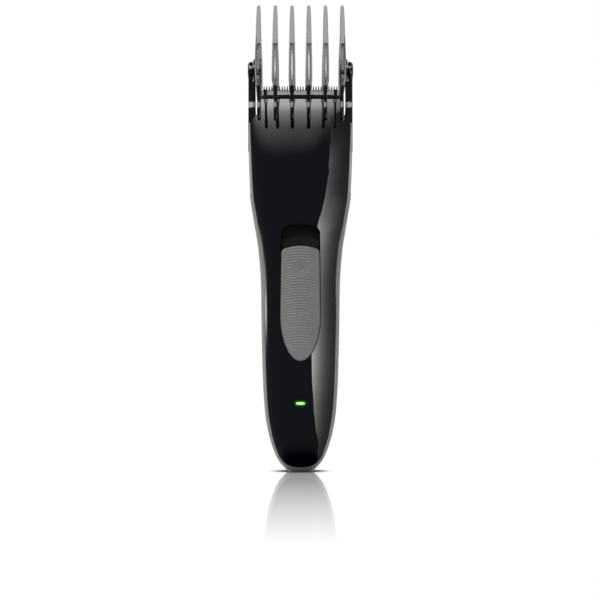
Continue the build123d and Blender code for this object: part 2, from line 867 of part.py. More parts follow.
def cutter_frame():
    """Black carrier that closes the head's mouth round the blades, its flange on the shells' edge."""
    low = rim - frame_fall
    frame = cavity & block(-liner_inner, liner_inner, -30, 30, low, shell_top)
    frame += casing_form(0, shell_top, rim + frame_flange_rise) - beyond_shoulders(0)
    front_wall = rim_front_depth - wall - frame_front_wall
    side_wall = moving_tang_half_width + blade_throw + fit_gap
    frame -= block(-side_wall, side_wall, -front_wall, blade_face + fixed_blade_thickness, low - 1, rim + 1)
    frame -= block(-side_wall, side_wall, blade_face, 30, low - 1, low + 1.2)
    rail_top = rim + fixed_blade_rise - tooth_length - 0.2
    rail = polygon(
        (blade_face + fixed_blade_thickness, rim - 0.6), (rim_rear_depth - wall - 0.6, rim - 0.6),
        (rim_rear_depth - wall - 0.6, rim + 0.4), (blade_face + fixed_blade_thickness + 1.4, rail_top),
        (blade_face + fixed_blade_thickness, rail_top),
    )
    rail_half = rim_half_width - wall - 0.6
    frame += through_x(rail, -rail_half, rail_half)
    screw_end = blade_face + fixed_blade_thickness + blade_screw_length
    for side in SIDES:
        x = side * blade_screw_spacing / 2
        frame -= rod_y(blade_screw_radius, 0, screw_end + 0.2, x, rim - blade_screw_fall)
    return one_solid(frame)


def blade_screws():
    screws = Part()
    height = rim - blade_screw_fall
    end = blade_face + fixed_blade_thickness + blade_screw_length
    for side in SIDES:
        x = side * blade_screw_spacing / 2
        head = rod_y(blade_screw_head_radius, blade_face - 0.9, blade_face, x, height)
        head -= block(x - 1.1, x + 1.1, -5, blade_face - 0.5, height - 0.25, height + 0.25)
        screws += head + rod_y(blade_screw_radius, blade_face, end, x, height)
    return screws


def blade_spring():
    """Two leaves on one strip that press the moving blade on the fixed one."""
    wall_face = -(rim_front_depth - wall - frame_front_wall)
    high = rim - 1.4
    low = rim - 6.5
    tip = moving_face - 0.1
    leaf = polygon(
        (wall_face, low), (wall_face + 0.3, low), (wall_face + 0.3, high - 1.2), (tip, high - 2.2),
        (tip, high - 1.8), (wall_face + 0.3, high - 0.8), (wall_face, high - 0.8),
    )
    leaves = Part()
    for side in SIDES:
        leaves += through_x(leaf, side * 9 - 1.2, side * 9 + 1.2)
    strip = block(-10.2, 10.2, wall_face, wall_face + 0.3, low, low + 1.5)
    return one_solid(leaves + strip)


# ---------------------------------------------------------------- comb
def tine_outline():
    """Side view of one tine, drawn as (y, z): a fork with two legs under a tall fin."""
    toe = rim - leg_fall
    roof = rim + notch_rise
    bar_low = toe + 0.5
    knee_low, knee_top = rim - neck_slope_fall, rim - neck_fall
    shin = Line((-leg_front, toe + 1.2), (-leg_front, knee_low))
    knee = Spline((-leg_front, knee_low), (-leg_front + knee_step, knee_top), tangents=((0, 1), (0, 1)))
    front_edge = Spline(
        (-leg_front + knee_step, knee_top), (-leg_front + 2.2, pivot_height - 4),
        (-leg_front * 0.69, pivot_height + 10), (-leg_front * 0.38, comb_top - 8.5), (-1.8, comb_top - 0.4),
    )
    tip = ThreePointArc((-1.8, comb_top - 0.4), (-0.2, comb_top), (1.4, comb_top - 0.5))
    rear_edge = Spline(
        (1.4, comb_top - 0.5), (leg_front * 0.34, comb_top - 9.5), (leg_front * 0.62, pivot_height + 10),
        (leg_front * 0.82, pivot_height - 4), (leg_front - 1.2, rim - 1), (leg_front, bar_low + foot_height),
    )
    foot = Polyline(
        (leg_front, bar_low + foot_height), (leg_front, bar_low), (bar_inner, bar_low),
        (bar_inner, bar_low + foot_height),
    )
    rear_inner = Spline(
        (bar_inner, bar_low + foot_height), (leg_front * 0.70, pivot_height - 4), (11.5, roof - 6)
    )
    roof_line = Spline((11.5, roof - 6), (6.5, roof - 1.2), (0, roof), (-6.5, roof - 1.2), (-11.5, roof - 6))
    front_inner = Spline((-11.5, roof - 6), (-leg_inner + 2.9, pivot_height - 4), (-leg_inner, toe + 1.2))
    toe_arc = ThreePointArc(
        (-leg_inner, toe + 1.2), (-(leg_inner + leg_front) / 2, toe), (-leg_front, toe + 1.2)
    )
    outside = [shin, knee, front_edge, tip, rear_edge, foot]
    return make_face(outside + [rear_inner, roof_line, front_inner, toe_arc])


def tine_half(y, z):
    """Half thickness of a tine: it grows towards the rear and thins towards the tips."""
    return tine_half_at_pivot + tine_rear_growth * y - tine_top_thinning * (z - pivot_height)


def tine_places():
    return [(i - (tine_count - 1) / 2) * tine_pitch for i in range(tine_count)]


def comb_tines():
    tine = through_x(tine_outline(), -5, 5)
    for side in SIDES:
        flank = Plane(
            (side * tine_half_at_pivot, 0, pivot_height), z_dir=(side, -tine_rear_growth, tine_top_thinning)
        )
        tine = split(tine, bisect_by=flank, keep=Keep.BOTTOM)
    tines = Part()
    for x in tine_places():
        tines += Pos(x, 0, 0) * tine
    return tines


def comb_crossbar():
    """Bar behind the head that joins the rear legs."""
    low = rim - leg_fall + 0.5
    reach = tine_places()[-1] + tine_half(leg_front, low)
    return block(-reach, reach, bar_inner, leg_front, low - bar_height, low)


def comb_side_webs():
    """A web with a pivot ear on each side, inside the fork of the outermost tine."""
    roof = rim + notch_rise
    web = polygon(
        (-12.5, roof - 7), (-9, roof + 2), (9, roof + 2), (12.5, roof - 7), (8, roof - 7.5),
        (ear_radius, pivot_height), (-ear_radius, pivot_height), (-8, roof - 7.5),
    )
    side = through_x(web, web_inner, web_inner + web_thickness)
    ear = rod_x(ear_radius, web_inner, ear_outer, 0, pivot_height)
    hole = rod_x(pivot_pin_radius + running_gap, web_inner - 1, ear_outer + 1, 0, pivot_height)
    return both_sides(side + ear - hole) - comb_tines()


# ---------------------------------------------------------------- arms and length carriage
def arm_solid():
    """Arm on the +X side: a knuckle beside the comb's ear, a blade, and the flange that the groove holds."""
    neck = pivot_height - knuckle_radius - 1.2
    slope_top, slope_low = rim - neck_fall, rim - neck_slope_fall
    front_neck = Line((-neck_half_depth, neck), (-neck_half_depth, slope_top))
    front_slope = Spline(
        (-neck_half_depth, slope_top), (-arm_half_depth, slope_low), tangents=((0, -1), (0, -1))
    )
    lower = Polyline(
        (-arm_half_depth, slope_low), (-arm_half_depth, arm_bottom), (arm_half_depth, arm_bottom),
        (arm_half_depth, slope_low),
    )
    rear_slope = Spline(
        (arm_half_depth, slope_low), (neck_half_depth, slope_top), tangents=((0, 1), (0, 1))
    )
    rear_neck = Line((neck_half_depth, slope_top), (neck_half_depth, neck))
    upper = Line((neck_half_depth, neck), (-neck_half_depth, neck))
    blade = make_face([front_neck, front_slope, lower, rear_slope, rear_neck, upper])
    joint = polygon(
        (-neck_half_depth, neck - 0.5), (neck_half_depth, neck - 0.5), (knuckle_radius * 0.86, pivot_height),
        (-knuckle_radius * 0.86, pivot_height),
    )
    arm = through_x(blade + joint, arm_inner, arm_outer)
    arm -= rod_x(ear_radius + fit_gap, arm_inner - 1, knuckle_inner, 0, pivot_height)
    knuckle = rod_x(knuckle_radius, knuckle_inner, knuckle_outer, 0, pivot_height)
    arm += fillet(knuckle.edges().filter_by(GeomType.CIRCLE).sort_by(Axis.X)[-1], 0.8)
    flange_top = rim - arm_flange_top_fall
    arm += block(
        arm_inner, arm_inner + arm_flange, -arm_flange_half_depth, arm_flange_half_depth, arm_bottom, flange_top
    )
    pocket_end = knuckle_inner + spring_pocket_depth
    pocket = rod_x(spring_ring_radius + 2 * spring_wire, arm_inner, pocket_end, 0, pivot_height)
    hub = rod_x(pivot_pin_radius + 0.4, arm_inner, pocket_end, 0, pivot_height)
    arm -= pocket - hub
    arm -= rod_x(pivot_pin_radius, arm_inner, knuckle_outer - 1, 0, pivot_height)
    return one_solid(arm)


def pivot_pins():
    pin = rod_x(pivot_pin_radius, web_inner - 0.1, knuckle_outer - 1, 0, pivot_height)
    return both_sides(pin)


def pivot_springs():
    """One coiled ring of wire in each knuckle."""
    middle = knuckle_inner + spring_pocket_depth - spring_wire
    ring = Pos(middle, 0, pivot_height) * Rot(0, 90, 0) * Torus(spring_ring_radius, spring_wire)
    return both_sides(ring)


def length_carriage():
    """Strap behind the motor that links the two arms through the grooves' floors."""
    low, high = carriage_height - carriage_half_height, carriage_height + carriage_half_height
    wing_out = liner_inner - 2 * fit_gap
    wing_in = wing_out - carriage_wing
    web_in, web_out = carriage_web_depth, carriage_web_depth + carriage_web
    bend, turn = 4.0, 10.5
    strap = polygon(
        (wing_in, -link_half_depth), (wing_out, -link_half_depth), (wing_out, bend + 0.8),
        (turn + 1.2, web_out), (-turn - 1.2, web_out), (-wing_out, bend + 0.8), (-wing_out, -link_half_depth),
        (-wing_in, -link_half_depth), (-wing_in, bend), (-turn, web_in), (turn, web_in), (wing_in, bend),
    )
    carriage = through_z(strap, low, high)
    carriage += both_sides(block(wing_in, arm_inner, -link_half_depth, link_half_depth, low, high))
    return one_solid(carriage)


def length_button():
    """Button on the back, its neck through the selector slot, its foot with the detent tooth."""
    foot_front = carriage_web_depth + carriage_web + button_travel + 0.1
    foot_back = foot_front + button_foot
    head_low = rear_depth(carriage_height - comb_travel) + button_travel + fit_gap
    foot = block(
        -button_foot_half_width, button_foot_half_width, foot_front, foot_back,
        carriage_height - button_foot_half_height, carriage_height + button_foot_half_height,
    )
    tooth = block(
        button_neck_half_width + fit_gap, button_foot_half_width, foot_back, detent_face - 0.15,
        carriage_height - tooth_half_height, carriage_height + tooth_half_height,
    )
    neck = block(
        -button_neck_half_width, button_neck_half_width, foot_back, head_low,
        carriage_height - button_neck_half_height, carriage_height + button_neck_half_height,
    )
    head = block(
        -button_half_width, button_half_width, head_low, head_low + button_head,
        carriage_height - button_half_height, carriage_height + button_half_height,
    )
    head = fillet(head.edges().filter_by(Axis.Y), 1.5)
    head = fillet(head.faces().sort_by(Axis.Y)[-1].edges(), 0.5)
    return one_solid(foot + both_sides(tooth) + neck + head)


def button_spring():
    """Bowed leaf between the carriage and the button's foot."""
    seat = carriage_web_depth + carriage_web
    back, crest = seat + leaf_thickness, seat + button_travel + 0.1
    top = ThreePointArc((-leaf_half_length, back), (0, crest), (leaf_half_length, back))
    low = ThreePointArc((-leaf_half_length, seat), (0, crest - leaf_thickness), (leaf_half_length, seat))
    ends = [Line(top @ 0, low @ 0), Line(top @ 1, low @ 1)]
    leaf = make_face([top, low] + ends)
    return through_z(leaf, carriage_height - leaf_half_height, carriage_height + leaf_half_height)


# ---------------------------------------------------------------- build
right_arm = arm_solid()
NODES = {
    "rear_casing": rear_casing(),
    "front_casing": front_casing(),
    "switch_tray": switch_tray(),
    "slider_base": slider_base(),
    "slider_grip": slider_grip(),
    "switch_contact": switch_contact(),
    "slide_switch_body": slide_switch_body(),
    "led_lens": led_lens(),
    "charge_led": charge_led(),
    "circuit_board": circuit_board(),
    "battery_cells": battery_cells(),
    "battery_contacts": battery_contacts(),
    "charging_socket": charging_socket(),
    "socket_pins": socket_pins(),
    "charge_leads": charge_leads(),
    "motor_leads": motor_leads(),
    "inner_chassis": inner_chassis(),
    "casing_screws": casing_screws(),
    "motor_can": motor_can(),
    "motor_end_cap": motor_end_cap(),
    "motor_terminals": motor_terminals(),
    "motor_bush": motor_bush(),
    "motor_shaft": motor_shaft(),
    "rotor_core": rotor_core(),
    "eccentric_cam": eccentric_cam(),
    "fixed_blade": fixed_blade(),
    "moving_blade": moving_blade(),
    "blade_guides": blade_guides(),
    "drive_yoke": drive_yoke(),
    "cutter_frame": cutter_frame(),
    "blade_screws": blade_screws(),
    "blade_spring": blade_spring(),
    "comb_tines": comb_tines(),
    "comb_crossbar": comb_crossbar(),
    "comb_side_webs": comb_side_webs(),
    "right_arm": right_arm,
    "left_arm": mirror(right_arm, Plane.YZ),
    "pivot_pins": pivot_pins(),
    "pivot_springs": pivot_springs(),
    "length_carriage": length_carriage(),
    "length_button": length_button(),
    "button_spring": button_spring(),
}

for name, shape in NODES.items():
    export_step(shape, f"parts/{name}.step")
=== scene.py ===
import json
import math

import bpy
import numpy as np
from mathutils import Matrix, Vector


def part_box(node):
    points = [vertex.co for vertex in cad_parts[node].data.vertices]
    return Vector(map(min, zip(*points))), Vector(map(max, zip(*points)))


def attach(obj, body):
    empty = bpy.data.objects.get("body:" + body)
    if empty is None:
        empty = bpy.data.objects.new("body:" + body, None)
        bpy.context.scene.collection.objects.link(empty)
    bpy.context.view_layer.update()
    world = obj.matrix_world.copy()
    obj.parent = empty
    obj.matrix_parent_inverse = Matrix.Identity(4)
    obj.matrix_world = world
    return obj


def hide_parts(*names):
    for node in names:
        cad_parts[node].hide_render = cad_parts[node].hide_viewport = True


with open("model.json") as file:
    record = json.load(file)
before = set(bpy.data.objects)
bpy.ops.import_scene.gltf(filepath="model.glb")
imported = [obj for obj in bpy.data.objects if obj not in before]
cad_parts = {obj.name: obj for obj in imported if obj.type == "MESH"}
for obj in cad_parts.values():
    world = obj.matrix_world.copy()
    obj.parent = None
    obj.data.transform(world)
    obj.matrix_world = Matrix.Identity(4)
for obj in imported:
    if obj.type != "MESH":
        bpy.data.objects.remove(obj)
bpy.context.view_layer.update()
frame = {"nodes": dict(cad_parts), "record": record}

MM = 0.001
NODE_FINISH = {row["node"]: row["material_slot"] for row in frame["record"]["subparts"]}
SLOTS = set(NODE_FINISH.values())

# ======== sizes, in millimetres
RIM = 168.4                     # top of the casing
WALL = 1.8
SHADOW_GAP = 0.12               # open line between the two shells

# Casing sections: share of the height, half width, front depth, rear depth, squareness.
CASING_SECTIONS = [
    (0.000, 5.6, 6.2, 6.2, 2.10),
    (0.012, 7.6, 8.2, 8.0, 2.10),
    (0.028, 9.8, 10.2, 9.8, 2.10),
    (0.055, 12.0, 12.2, 11.6, 2.15),
    (0.107, 14.6, 14.2, 13.2, 2.20),
    (0.160, 16.0, 15.1, 13.8, 2.20),
    (0.243, 16.9, 15.7, 14.1, 2.20),
    (0.380, 17.5, 16.1, 14.2, 2.20),
    (0.500, 17.8, 16.6, 14.2, 2.25),
    (0.588, 18.9, 17.1, 14.3, 2.35),
    (0.671, 21.1, 17.5, 14.5, 2.50),
    (0.736, 22.7, 17.1, 14.5, 2.65),
    (0.831, 23.3, 15.6, 14.2, 2.80),
    (0.909, 23.5, 13.4, 13.2, 2.80),
    (0.956, 23.5, 11.5, 11.5, 2.80),
    (1.000, 23.5, 8.9, 8.6, 2.80),
]
PARTING_LINE = [
    (0.009, -8.8), (0.022, -6.5), (0.055, -5.9), (0.14, -6.5), (0.30, -6.7), (0.40, -7.5),
    (0.50, -8.7), (0.60, -9.4), (0.70, -8.2), (0.80, -6.6), (1.01, -6.6),
]
SHOULDER = 23.5
HEAD_HALF = 18.3
RIM_HALF = 17.2
SHOULDER_TOP = RIM - 7.4
SHOULDER_LOW = SHOULDER_TOP - 5.8
SHELL_TOP = RIM - 1.7
SHELL_ROWS, SHELL_COLUMNS = 300, 220
HOLLOW_ROWS = HOLLOW_COLUMNS = 90
OUTSIDE = 30                    # clear of the casing's sides
BEYOND = 40                     # clear of its whole outline
SIDES = (1, -1)

PAD_HALF = 8.9
PAD_TOP_HALF = 8.5
PAD_BOTTOM = 49.8
PAD_TOP = PAD_BOTTOM + 51.2
PAD_TAPER = 20.4
PAD_ARCH = 1.9
PAD_CORNER = 1.3
PAD_CROWN = 0.35
PAD_BACK = -14.2
PAD_EDGE = 0.9                  # rounding of the pad's rim
RIB_PITCH = 1.22
RIB_DEPTH = 0.16
RECESS_GAP = 0.25
RECESS_TOP = PAD_TOP + 9.8
RECESS_CORNER = 2.4
DIMPLE_HEIGHT = PAD_TOP - 10.0
DIMPLE_RADIUS = 4.0
DIMPLE_DEPTH = 0.45
MARK_DEPTH = 0.10
LIGHT_HEIGHT = 31.0
LIGHT_WIDTH = 4.1
LIGHT_TALL = 1.3

ARM_INNER = 20.0
ARM_OUTER = 23.4
NECK_INNER = 20.12
KNUCKLE_INNER = 21.3
KNUCKLE_OUTER = 23.7
KNUCKLE_RADIUS = 4.4
KNUCKLE_DOME = 1.5
KNUCKLE_LIP = 0.3
EAR_RADIUS = 5.5
ARM_HALF = 4.3
NECK_HALF = 3.1
BEND_TOP = RIM - 1.8
BEND_LOW = RIM - 5.8
FLANGE_HALF = 5.4
PIVOT = RIM + 11.5
ARM_BOTTOM = RIM - 25.1
COMB_TRAVEL = 18.0
GAP = 0.3                       # round what slides or turns in the casing

BUTTON_HEIGHT = RIM - 21.4
SLOT_REACH = 3.3                # selector's slot past the button's middle
BUTTON_HALF = 4.95
BUTTON_CORNER = 1.5
RIB_HALF_WIDTH, RIB_HALF_HEIGHT = 3.2, 0.35
SCREW_HEIGHTS = (72.0, 92.0)
SCREW_SEAT_RADIUS = 2.5
MARK_STEPS = 6
SHORTEST, LONGEST = 3, 21       # plain lengths beside the ticks

COMB_TOP = RIM + 41.1
ROOF = RIM + 24.0
TOE = RIM - 10.9
LEG_OUT = 21.0
LEG_IN = 17.9
FRONT_TOE = RIM - 12.1
KNEE_TOP = RIM - 2.9
KNEE_LOW = RIM - 6.9
BAR_IN = 17.5
TINE_PITCH = 7.5
TINE_COUNT = 6
KNEE_STEP = 1.2


# ======== shader maths
class Signal:
    """An output in a finish's node tree that is used like a number, a vector or a colour."""

    def __init__(self, finish, socket):
        self.finish = finish
        self.socket = socket

    def _is_vector(self, other):
        kinds = [self.socket.type]
        if isinstance(other, Signal):
            kinds.append(other.socket.type)
        return "VECTOR" in kinds or "RGBA" in kinds

    def _combine(self, operation, other, swapped):
        first, second = (other, self) if swapped else (self, other)
        if self._is_vector(other):
            pair = [v if isinstance(v, (Signal, tuple)) else (v, v, v) for v in (first, second)]
            return self.finish.node(
                "ShaderNodeVectorMath", {"operation": operation}, {0: pair[0], 1: pair[1]}
            )
        return self.finish.node("ShaderNodeMath", {"operation": operation}, {0: first, 1: second})

    def __add__(self, other):
        return self._combine("ADD", other, False)

    def __radd__(self, other):
        return self._combine("ADD", other, True)

    def __sub__(self, other):
        return self._combine("SUBTRACT", other, False)

    def __rsub__(self, other):
        return self._combine("SUBTRACT", other, True)

    def __mul__(self, other):
        return self._combine("MULTIPLY", other, False)

    def __rmul__(self, other):
        return self._combine("MULTIPLY", other, True)

    def __truediv__(self, other):
        return self._combine("DIVIDE", other, False)

    def __rtruediv__(self, other):
        return self._combine("DIVIDE", other, True)


class Finish:
    """A material, or the world, and its nodes."""

    def __init__(self, name, world=None):
        self.material = world or bpy.data.materials.new(name)
        self.material.use_nodes = True
        self.tree = self.material.node_tree
        self.tree.nodes.clear()
        self.out = self.tree.nodes.new("ShaderNodeOutputWorld" if world else "ShaderNodeOutputMaterial")

    def node(self, kind, settings=None, inputs=None, output=0):
        """Any node: its settings first, then the values or links of its sockets."""
        made = self.tree.nodes.new(kind)
        for key, value in (settings or {}).items():
            setattr(made, key, value)
        for key, value in (inputs or {}).items():
            socket = made.inputs[key]
            if isinstance(value, Signal):
                self.tree.links.new(value.socket, socket)
            else:
                socket.default_value = value
        return Signal(self, made.outputs[output])

    def place(self):
        """Coordinates in metres that ride with the piece."""
        return self.node("ShaderNodeTexCoord", output="Object")

    def outputs(self, kind, names, inputs=None):
        """Several outputs of one node."""
        sockets = self.node(kind, inputs=inputs).socket.node.outputs
        return [Signal(self, sockets[name]) for name in names]

    def axes(self):
        return self.outputs("ShaderNodeSeparateXYZ", "XYZ", {0: self.place()})

    def maths(self, operation, *values):
        return self.node("ShaderNodeMath", {"operation": operation}, dict(enumerate(values)))

    def noise(self, grain, detail=3.0, stretch=(1, 1, 1)):
        """Noise whose grain is about the given size in millimetres."""
        where = self.place() * stretch
        return self.node(
            "ShaderNodeTexNoise", inputs={"Vector": where, "Scale": 1 / (grain * MM), "Detail": detail}
        )

    def limit(self, value, low, high, to_low=0.0, to_high=1.0, ease="SMOOTHSTEP"):
        """A value's range mapped to another, clamped."""
        return self.node(
            "ShaderNodeMapRange", {"clamp": True, "interpolation_type": ease},
            {0: value, 1: low, 2: high, 3: to_low, 4: to_high},
        )

    def mix(self, amount, first, second):
        pair = [v if isinstance(v, Signal) else (*v, 1) for v in (first, second)]
        return self.node(
            "ShaderNodeMix", {"data_type": "RGBA"}, {0: amount, 6: pair[0], 7: pair[1]}, output=2
        )

    def bump(self, height, distance, strength):
        """Relief of a height signal, its full step given in millimetres."""
        return self.node(
            "ShaderNodeBump", inputs={"Height": height, "Distance": distance * MM, "Strength": strength}
        )

    def glow(self, strength):
        return self.node("ShaderNodeEmission", inputs={"Color": (1, 1, 1, 1), "Strength": strength})

    def between(self, amount, first, second):
        """One shader fading into another."""
        return self.node("ShaderNodeMixShader", inputs={0: amount, 1: first, 2: second})

    def done(self, shader):
        self.tree.links.new(shader.socket, self.out.inputs["Surface"])
        return self.material

    def surface(self, **values):
        """The main shader: names of its sockets with _ for a blank."""
        inputs = {}
        for key, value in values.items():
            label = key.replace("_", " ")
            if key in ("Base_Color", "Emission_Color", "Specular_Tint") and isinstance(value, tuple):
                value = (*value, 1)
            inputs[label] = value
        return self.done(self.node("ShaderNodeBsdfPrincipled", inputs=inputs))


# ======== finishes
def gloss_black():
    """Lacquered black moulding with a trace of orange peel, handling marks and the charge light's green
    spill, painted on as a glow round its window.
    """
    f = Finish("gloss_black")
    x, _, z = f.axes()
    peel = f.noise(2.6, detail=1.0)
    marks = f.noise(0.5, detail=4.0, stretch=(1.0, 1.0, 0.15))
    rough = f.limit(marks, 0.35, 0.75, 0.03, 0.06)
    tone = f.mix(f.noise(9.0), (0.0004, 0.0009, 0.0028), (0.0007, 0.0013, 0.0036))
    # Painted light: the casing glows green round the charge light's window.
    reach = (LIGHT_WIDTH - LIGHT_TALL) / 2 * MM
    aside = f.maths("MAXIMUM", f.maths("ABSOLUTE", x) - reach, 0.0)
    up = z - LIGHT_HEIGHT * MM
    away = f.maths("SQRT", aside * aside + up * up)
    spill = f.limit(away, 0.0005, 0.0018, 1.0, 0.0)
    return f.surface(
        Base_Color=tone, Roughness=rough, Normal=f.bump(peel, 0.004, 0.25), IOR=1.5,
        Coat_Weight=1.0, Coat_Roughness=0.03, Coat_IOR=1.6,
        Emission_Color=f.mix(spill, (0.0, 0.0, 0.0), (0.014, 0.085, 0.010)), Emission_Strength=1.0,
    )


def moulded(name, dark, light, rough=(0.35, 0.5), grain=0.35, relief=0.02, **more):
    """Textured plastic: two close tones, an even grain and slightly rubbed patches."""
    f = Finish(name)
    cloud = f.noise(7.0, detail=4.0)
    pits = f.noise(grain, detail=2.0)
    tone = f.mix(cloud, dark, light)
    polish = f.limit(f.noise(3.0, detail=4.0), 0.3, 0.7, rough[0], rough[1])
    return f.surface(Base_Color=tone, Roughness=polish, Normal=f.bump(pits, relief, 0.5), **more)


def satin_grey():
    return moulded(
        "satin_grey", (0.158, 0.162, 0.164), (0.178, 0.182, 0.184), (0.35, 0.45), 0.25, 0.010,
        Specular_IOR_Level=0.35,
    )


def soft_grip():
    """Soft-touch grey: a cloudy tone, fine pores and patchy roughness."""
    f = Finish("soft_grip")
    pores = f.noise(0.22)
    cloud = f.noise(6.0, detail=4.0)
    tone = f.mix(cloud, (0.150, 0.152, 0.146), (0.172, 0.174, 0.166))
    sheen = f.limit(f.noise(2.0, detail=4.0), 0.3, 0.7, 0.42, 0.56)
    return f.surface(Base_Color=tone, Roughness=sheen, Normal=f.bump(pores, 0.02, 0.5))


def steel(name, tone=0.62, rough=(0.16, 0.34), along=(0.08, 1, 1)):
    """Ground steel: streaks along one direction."""
    f = Finish(name)
    streaks = f.noise(0.12, detail=5.0, stretch=along)
    stain = f.noise(5.0)
    colour = f.mix(stain, (tone, tone * 1.01, tone * 1.02), (tone * 1.12, tone * 1.12, tone * 1.12))
    polish = f.limit(streaks, 0.3, 0.7, rough[0], rough[1])
    return f.surface(Base_Color=colour, Metallic=1.0, Roughness=polish, Normal=f.bump(streaks, 0.004, 0.4))


def steel_blade():
    """Blades: ground steel with a painted reflection, bright and nearly without metal below, dark between
    the teeth above.
    """
    f = Finish("blade_steel")
    _, _, z = f.axes()
    streaks = f.noise(0.12, detail=5.0, stretch=(0.08, 1, 1))
    stain = f.noise(5.0)
    # Painted reflection: one steel made dark and metallic at the teeth, bright and mostly diffuse below.
    teeth = f.limit(z, (RIM + 2.2) * MM, (RIM + 3.0) * MM)
    painted_bright_plate = f.mix(stain, (0.86, 0.87, 0.88), (0.93, 0.94, 0.95))
    tone = f.mix(teeth, painted_bright_plate, (0.09, 0.09, 0.092))
    polish = f.limit(streaks, 0.3, 0.7, 0.30, 0.45)
    return f.surface(
        Base_Color=tone, Metallic=f.limit(teeth, 0, 1, 0.12, 0.9), Roughness=polish,
        Normal=f.bump(streaks, 0.004, 0.4),
    )


def clear(name, black_from, black_to, tint, black_beyond=0.0):
    """Smoky clear moulding with a painted lighter heart in each tine that stands in for light showing
    through it, black between two heights at its sides.
    """
    f = Finish(name)
    x, _, z = f.axes()
    haze = f.noise(3.0)
    side = f.mix(haze, (tint, tint * 1.01, tint * 1.02), (tint * 1.15, tint * 1.16, tint * 1.17))
    tips = f.mix(haze, (0.34, 0.345, 0.35), (0.39, 0.395, 0.40))
    tips_from, tips_full = 0.188, 0.195
    tone = f.mix(f.limit(z, tips_from, tips_full), side, tips)
    # Painted light: a near-clear patch in each tine where light shows through.
    heart_half, heart_tall, heart_height = 0.36, 9.0, PIVOT + 2.4
    across = (f.maths("FRACT", x / (TINE_PITCH * MM)) - 0.5) * (TINE_PITCH / heart_half)
    up = (z - heart_height * MM) / (heart_tall * MM)
    heart = f.limit(across * across + up * up, 0.45, 1.0, 1.0, 0.0)
    tone = f.mix(heart, tone, (0.80, 0.80, 0.80))
    dark = f.limit(z, black_to * MM, (black_to + 0.8) * MM, 1.0, 0.0)
    dark = dark * f.limit(z, (black_from - 0.8) * MM, black_from * MM)
    dark = dark * f.limit(f.maths("ABSOLUTE", x), (black_beyond - 0.1) * MM, (black_beyond + 0.1) * MM)
    tone = f.mix(dark, tone, (0.010, 0.010, 0.011))
    rough = f.limit(f.noise(0.6, detail=4.0), 0.3, 0.8, 0.02, 0.06)
    return f.surface(
        Base_Color=tone, Transmission_Weight=1.0, IOR=1.15, Roughness=rough,
        Coat_Weight=f.limit(dark, 0.0, 1.0, 0.15, 1.0, "LINEAR"), Coat_Roughness=0.03, Coat_IOR=1.6,
    )


def glowing_lens():
    """Green window, brightest in its middle."""
    f = Finish("glowing_lens")
    x, _, z = f.axes()
    across = x / (LIGHT_WIDTH / 2 * MM)
    up = (z - LIGHT_HEIGHT * MM) / (LIGHT_TALL / 2 * MM)
    spread = across * across * 0.55 + up * up * 0.45
    core = f.limit(spread, 0.0, 0.85, 1.0, 0.0)
    glow = f.mix(core, (0.02, 0.26, 0.02), (0.56, 0.96, 0.33))
    grain = f.noise(0.4)
    return f.surface(
        Base_Color=(0.05, 0.4, 0.06), Emission_Color=glow, Emission_Strength=1.0,
        Roughness=f.limit(grain, 0.3, 0.7, 0.12, 0.2),
    )


FINISHES = {
    "gloss_black": gloss_black(),
    "satin_grey": satin_grey(),
    "grip_grey": soft_grip(),
    "smoky_clear": clear("smoky_clear", 0.0, RIM + 3.4, 0.25),
    "side_web": clear("side_web", RIM + 6.2, PIVOT + 3.9, 0.80, 19.8),
    "green_lens": glowing_lens(),
    "matte_black": moulded(
        "matte_black", (0.004, 0.004, 0.004), (0.006, 0.006, 0.006), (0.5, 0.65), Specular_IOR_Level=0.2,
    ),
    "cutter_black": moulded(
        "cutter_black", (0.003, 0.003, 0.003), (0.005, 0.005, 0.005), (0.55, 0.7), Specular_IOR_Level=0.15,
    ),
    "arm_black": moulded(
        "arm_black", (0.003, 0.003, 0.004), (0.005, 0.005, 0.006), (0.14, 0.22), 0.6, 0.004,
        Coat_Weight=1.0, Coat_Roughness=0.08, Coat_IOR=1.6,
    ),
    "black_nylon": moulded("black_nylon", (0.014, 0.014, 0.014), (0.022, 0.022, 0.022)),
    "grey_nylon": moulded("grey_nylon", (0.10, 0.10, 0.105), (0.13, 0.13, 0.135)),
    "white_acetal": moulded("white_acetal", (0.62, 0.62, 0.58), (0.72, 0.72, 0.68), (0.25, 0.4)),
    "clear_resin": moulded("clear_resin", (0.5, 0.7, 0.5), (0.6, 0.8, 0.6), (0.1, 0.2)),
    "green_board": moulded("green_board", (0.015, 0.12, 0.04), (0.02, 0.16, 0.06), (0.25, 0.4)),
    "cell_sleeve": moulded("cell_sleeve", (0.04, 0.18, 0.10), (0.06, 0.23, 0.13), (0.2, 0.35)),
    "lead_red": moulded("lead_red", (0.35, 0.02, 0.02), (0.45, 0.04, 0.03), (0.35, 0.5)),
    "copper_tab": steel("copper_tab", 0.45, (0.25, 0.4)),
    "bronze": steel("bronze", 0.35, (0.3, 0.45)),
    "nickel": steel("nickel", 0.62, (0.12, 0.2)),
    "screw_steel": steel("screw_steel", 0.40, (0.25, 0.4)),
    "motor_steel": steel("motor_steel", 0.50, (0.25, 0.4), (1, 1, 0.08)),
    "motor_core": steel("motor_core", 0.28, (0.35, 0.5), (1, 1, 0.08)),
    "spring_steel": steel("spring_steel", 0.48, (0.18, 0.3)),
    "blade_steel": steel_blade(),
    "mark_white": moulded("mark_white", (0.55, 0.56, 0.57), (0.62, 0.63, 0.64), (0.4, 0.5), 0.2, 0.004),
}


# ======== mesh helpers
def add_mesh(name, vertices, faces, unit=MM):
    """A bare object from points, which are in millimetres unless another unit is given."""
    mesh = bpy.data.meshes.new(name)
    places = np.asarray(vertices, dtype=float) * unit
    mesh.from_pydata([tuple(place) for place in places], [], [tuple(face) for face in faces])
    made = bpy.data.objects.new(name, mesh)
    bpy.context.collection.objects.link(made)
    return made


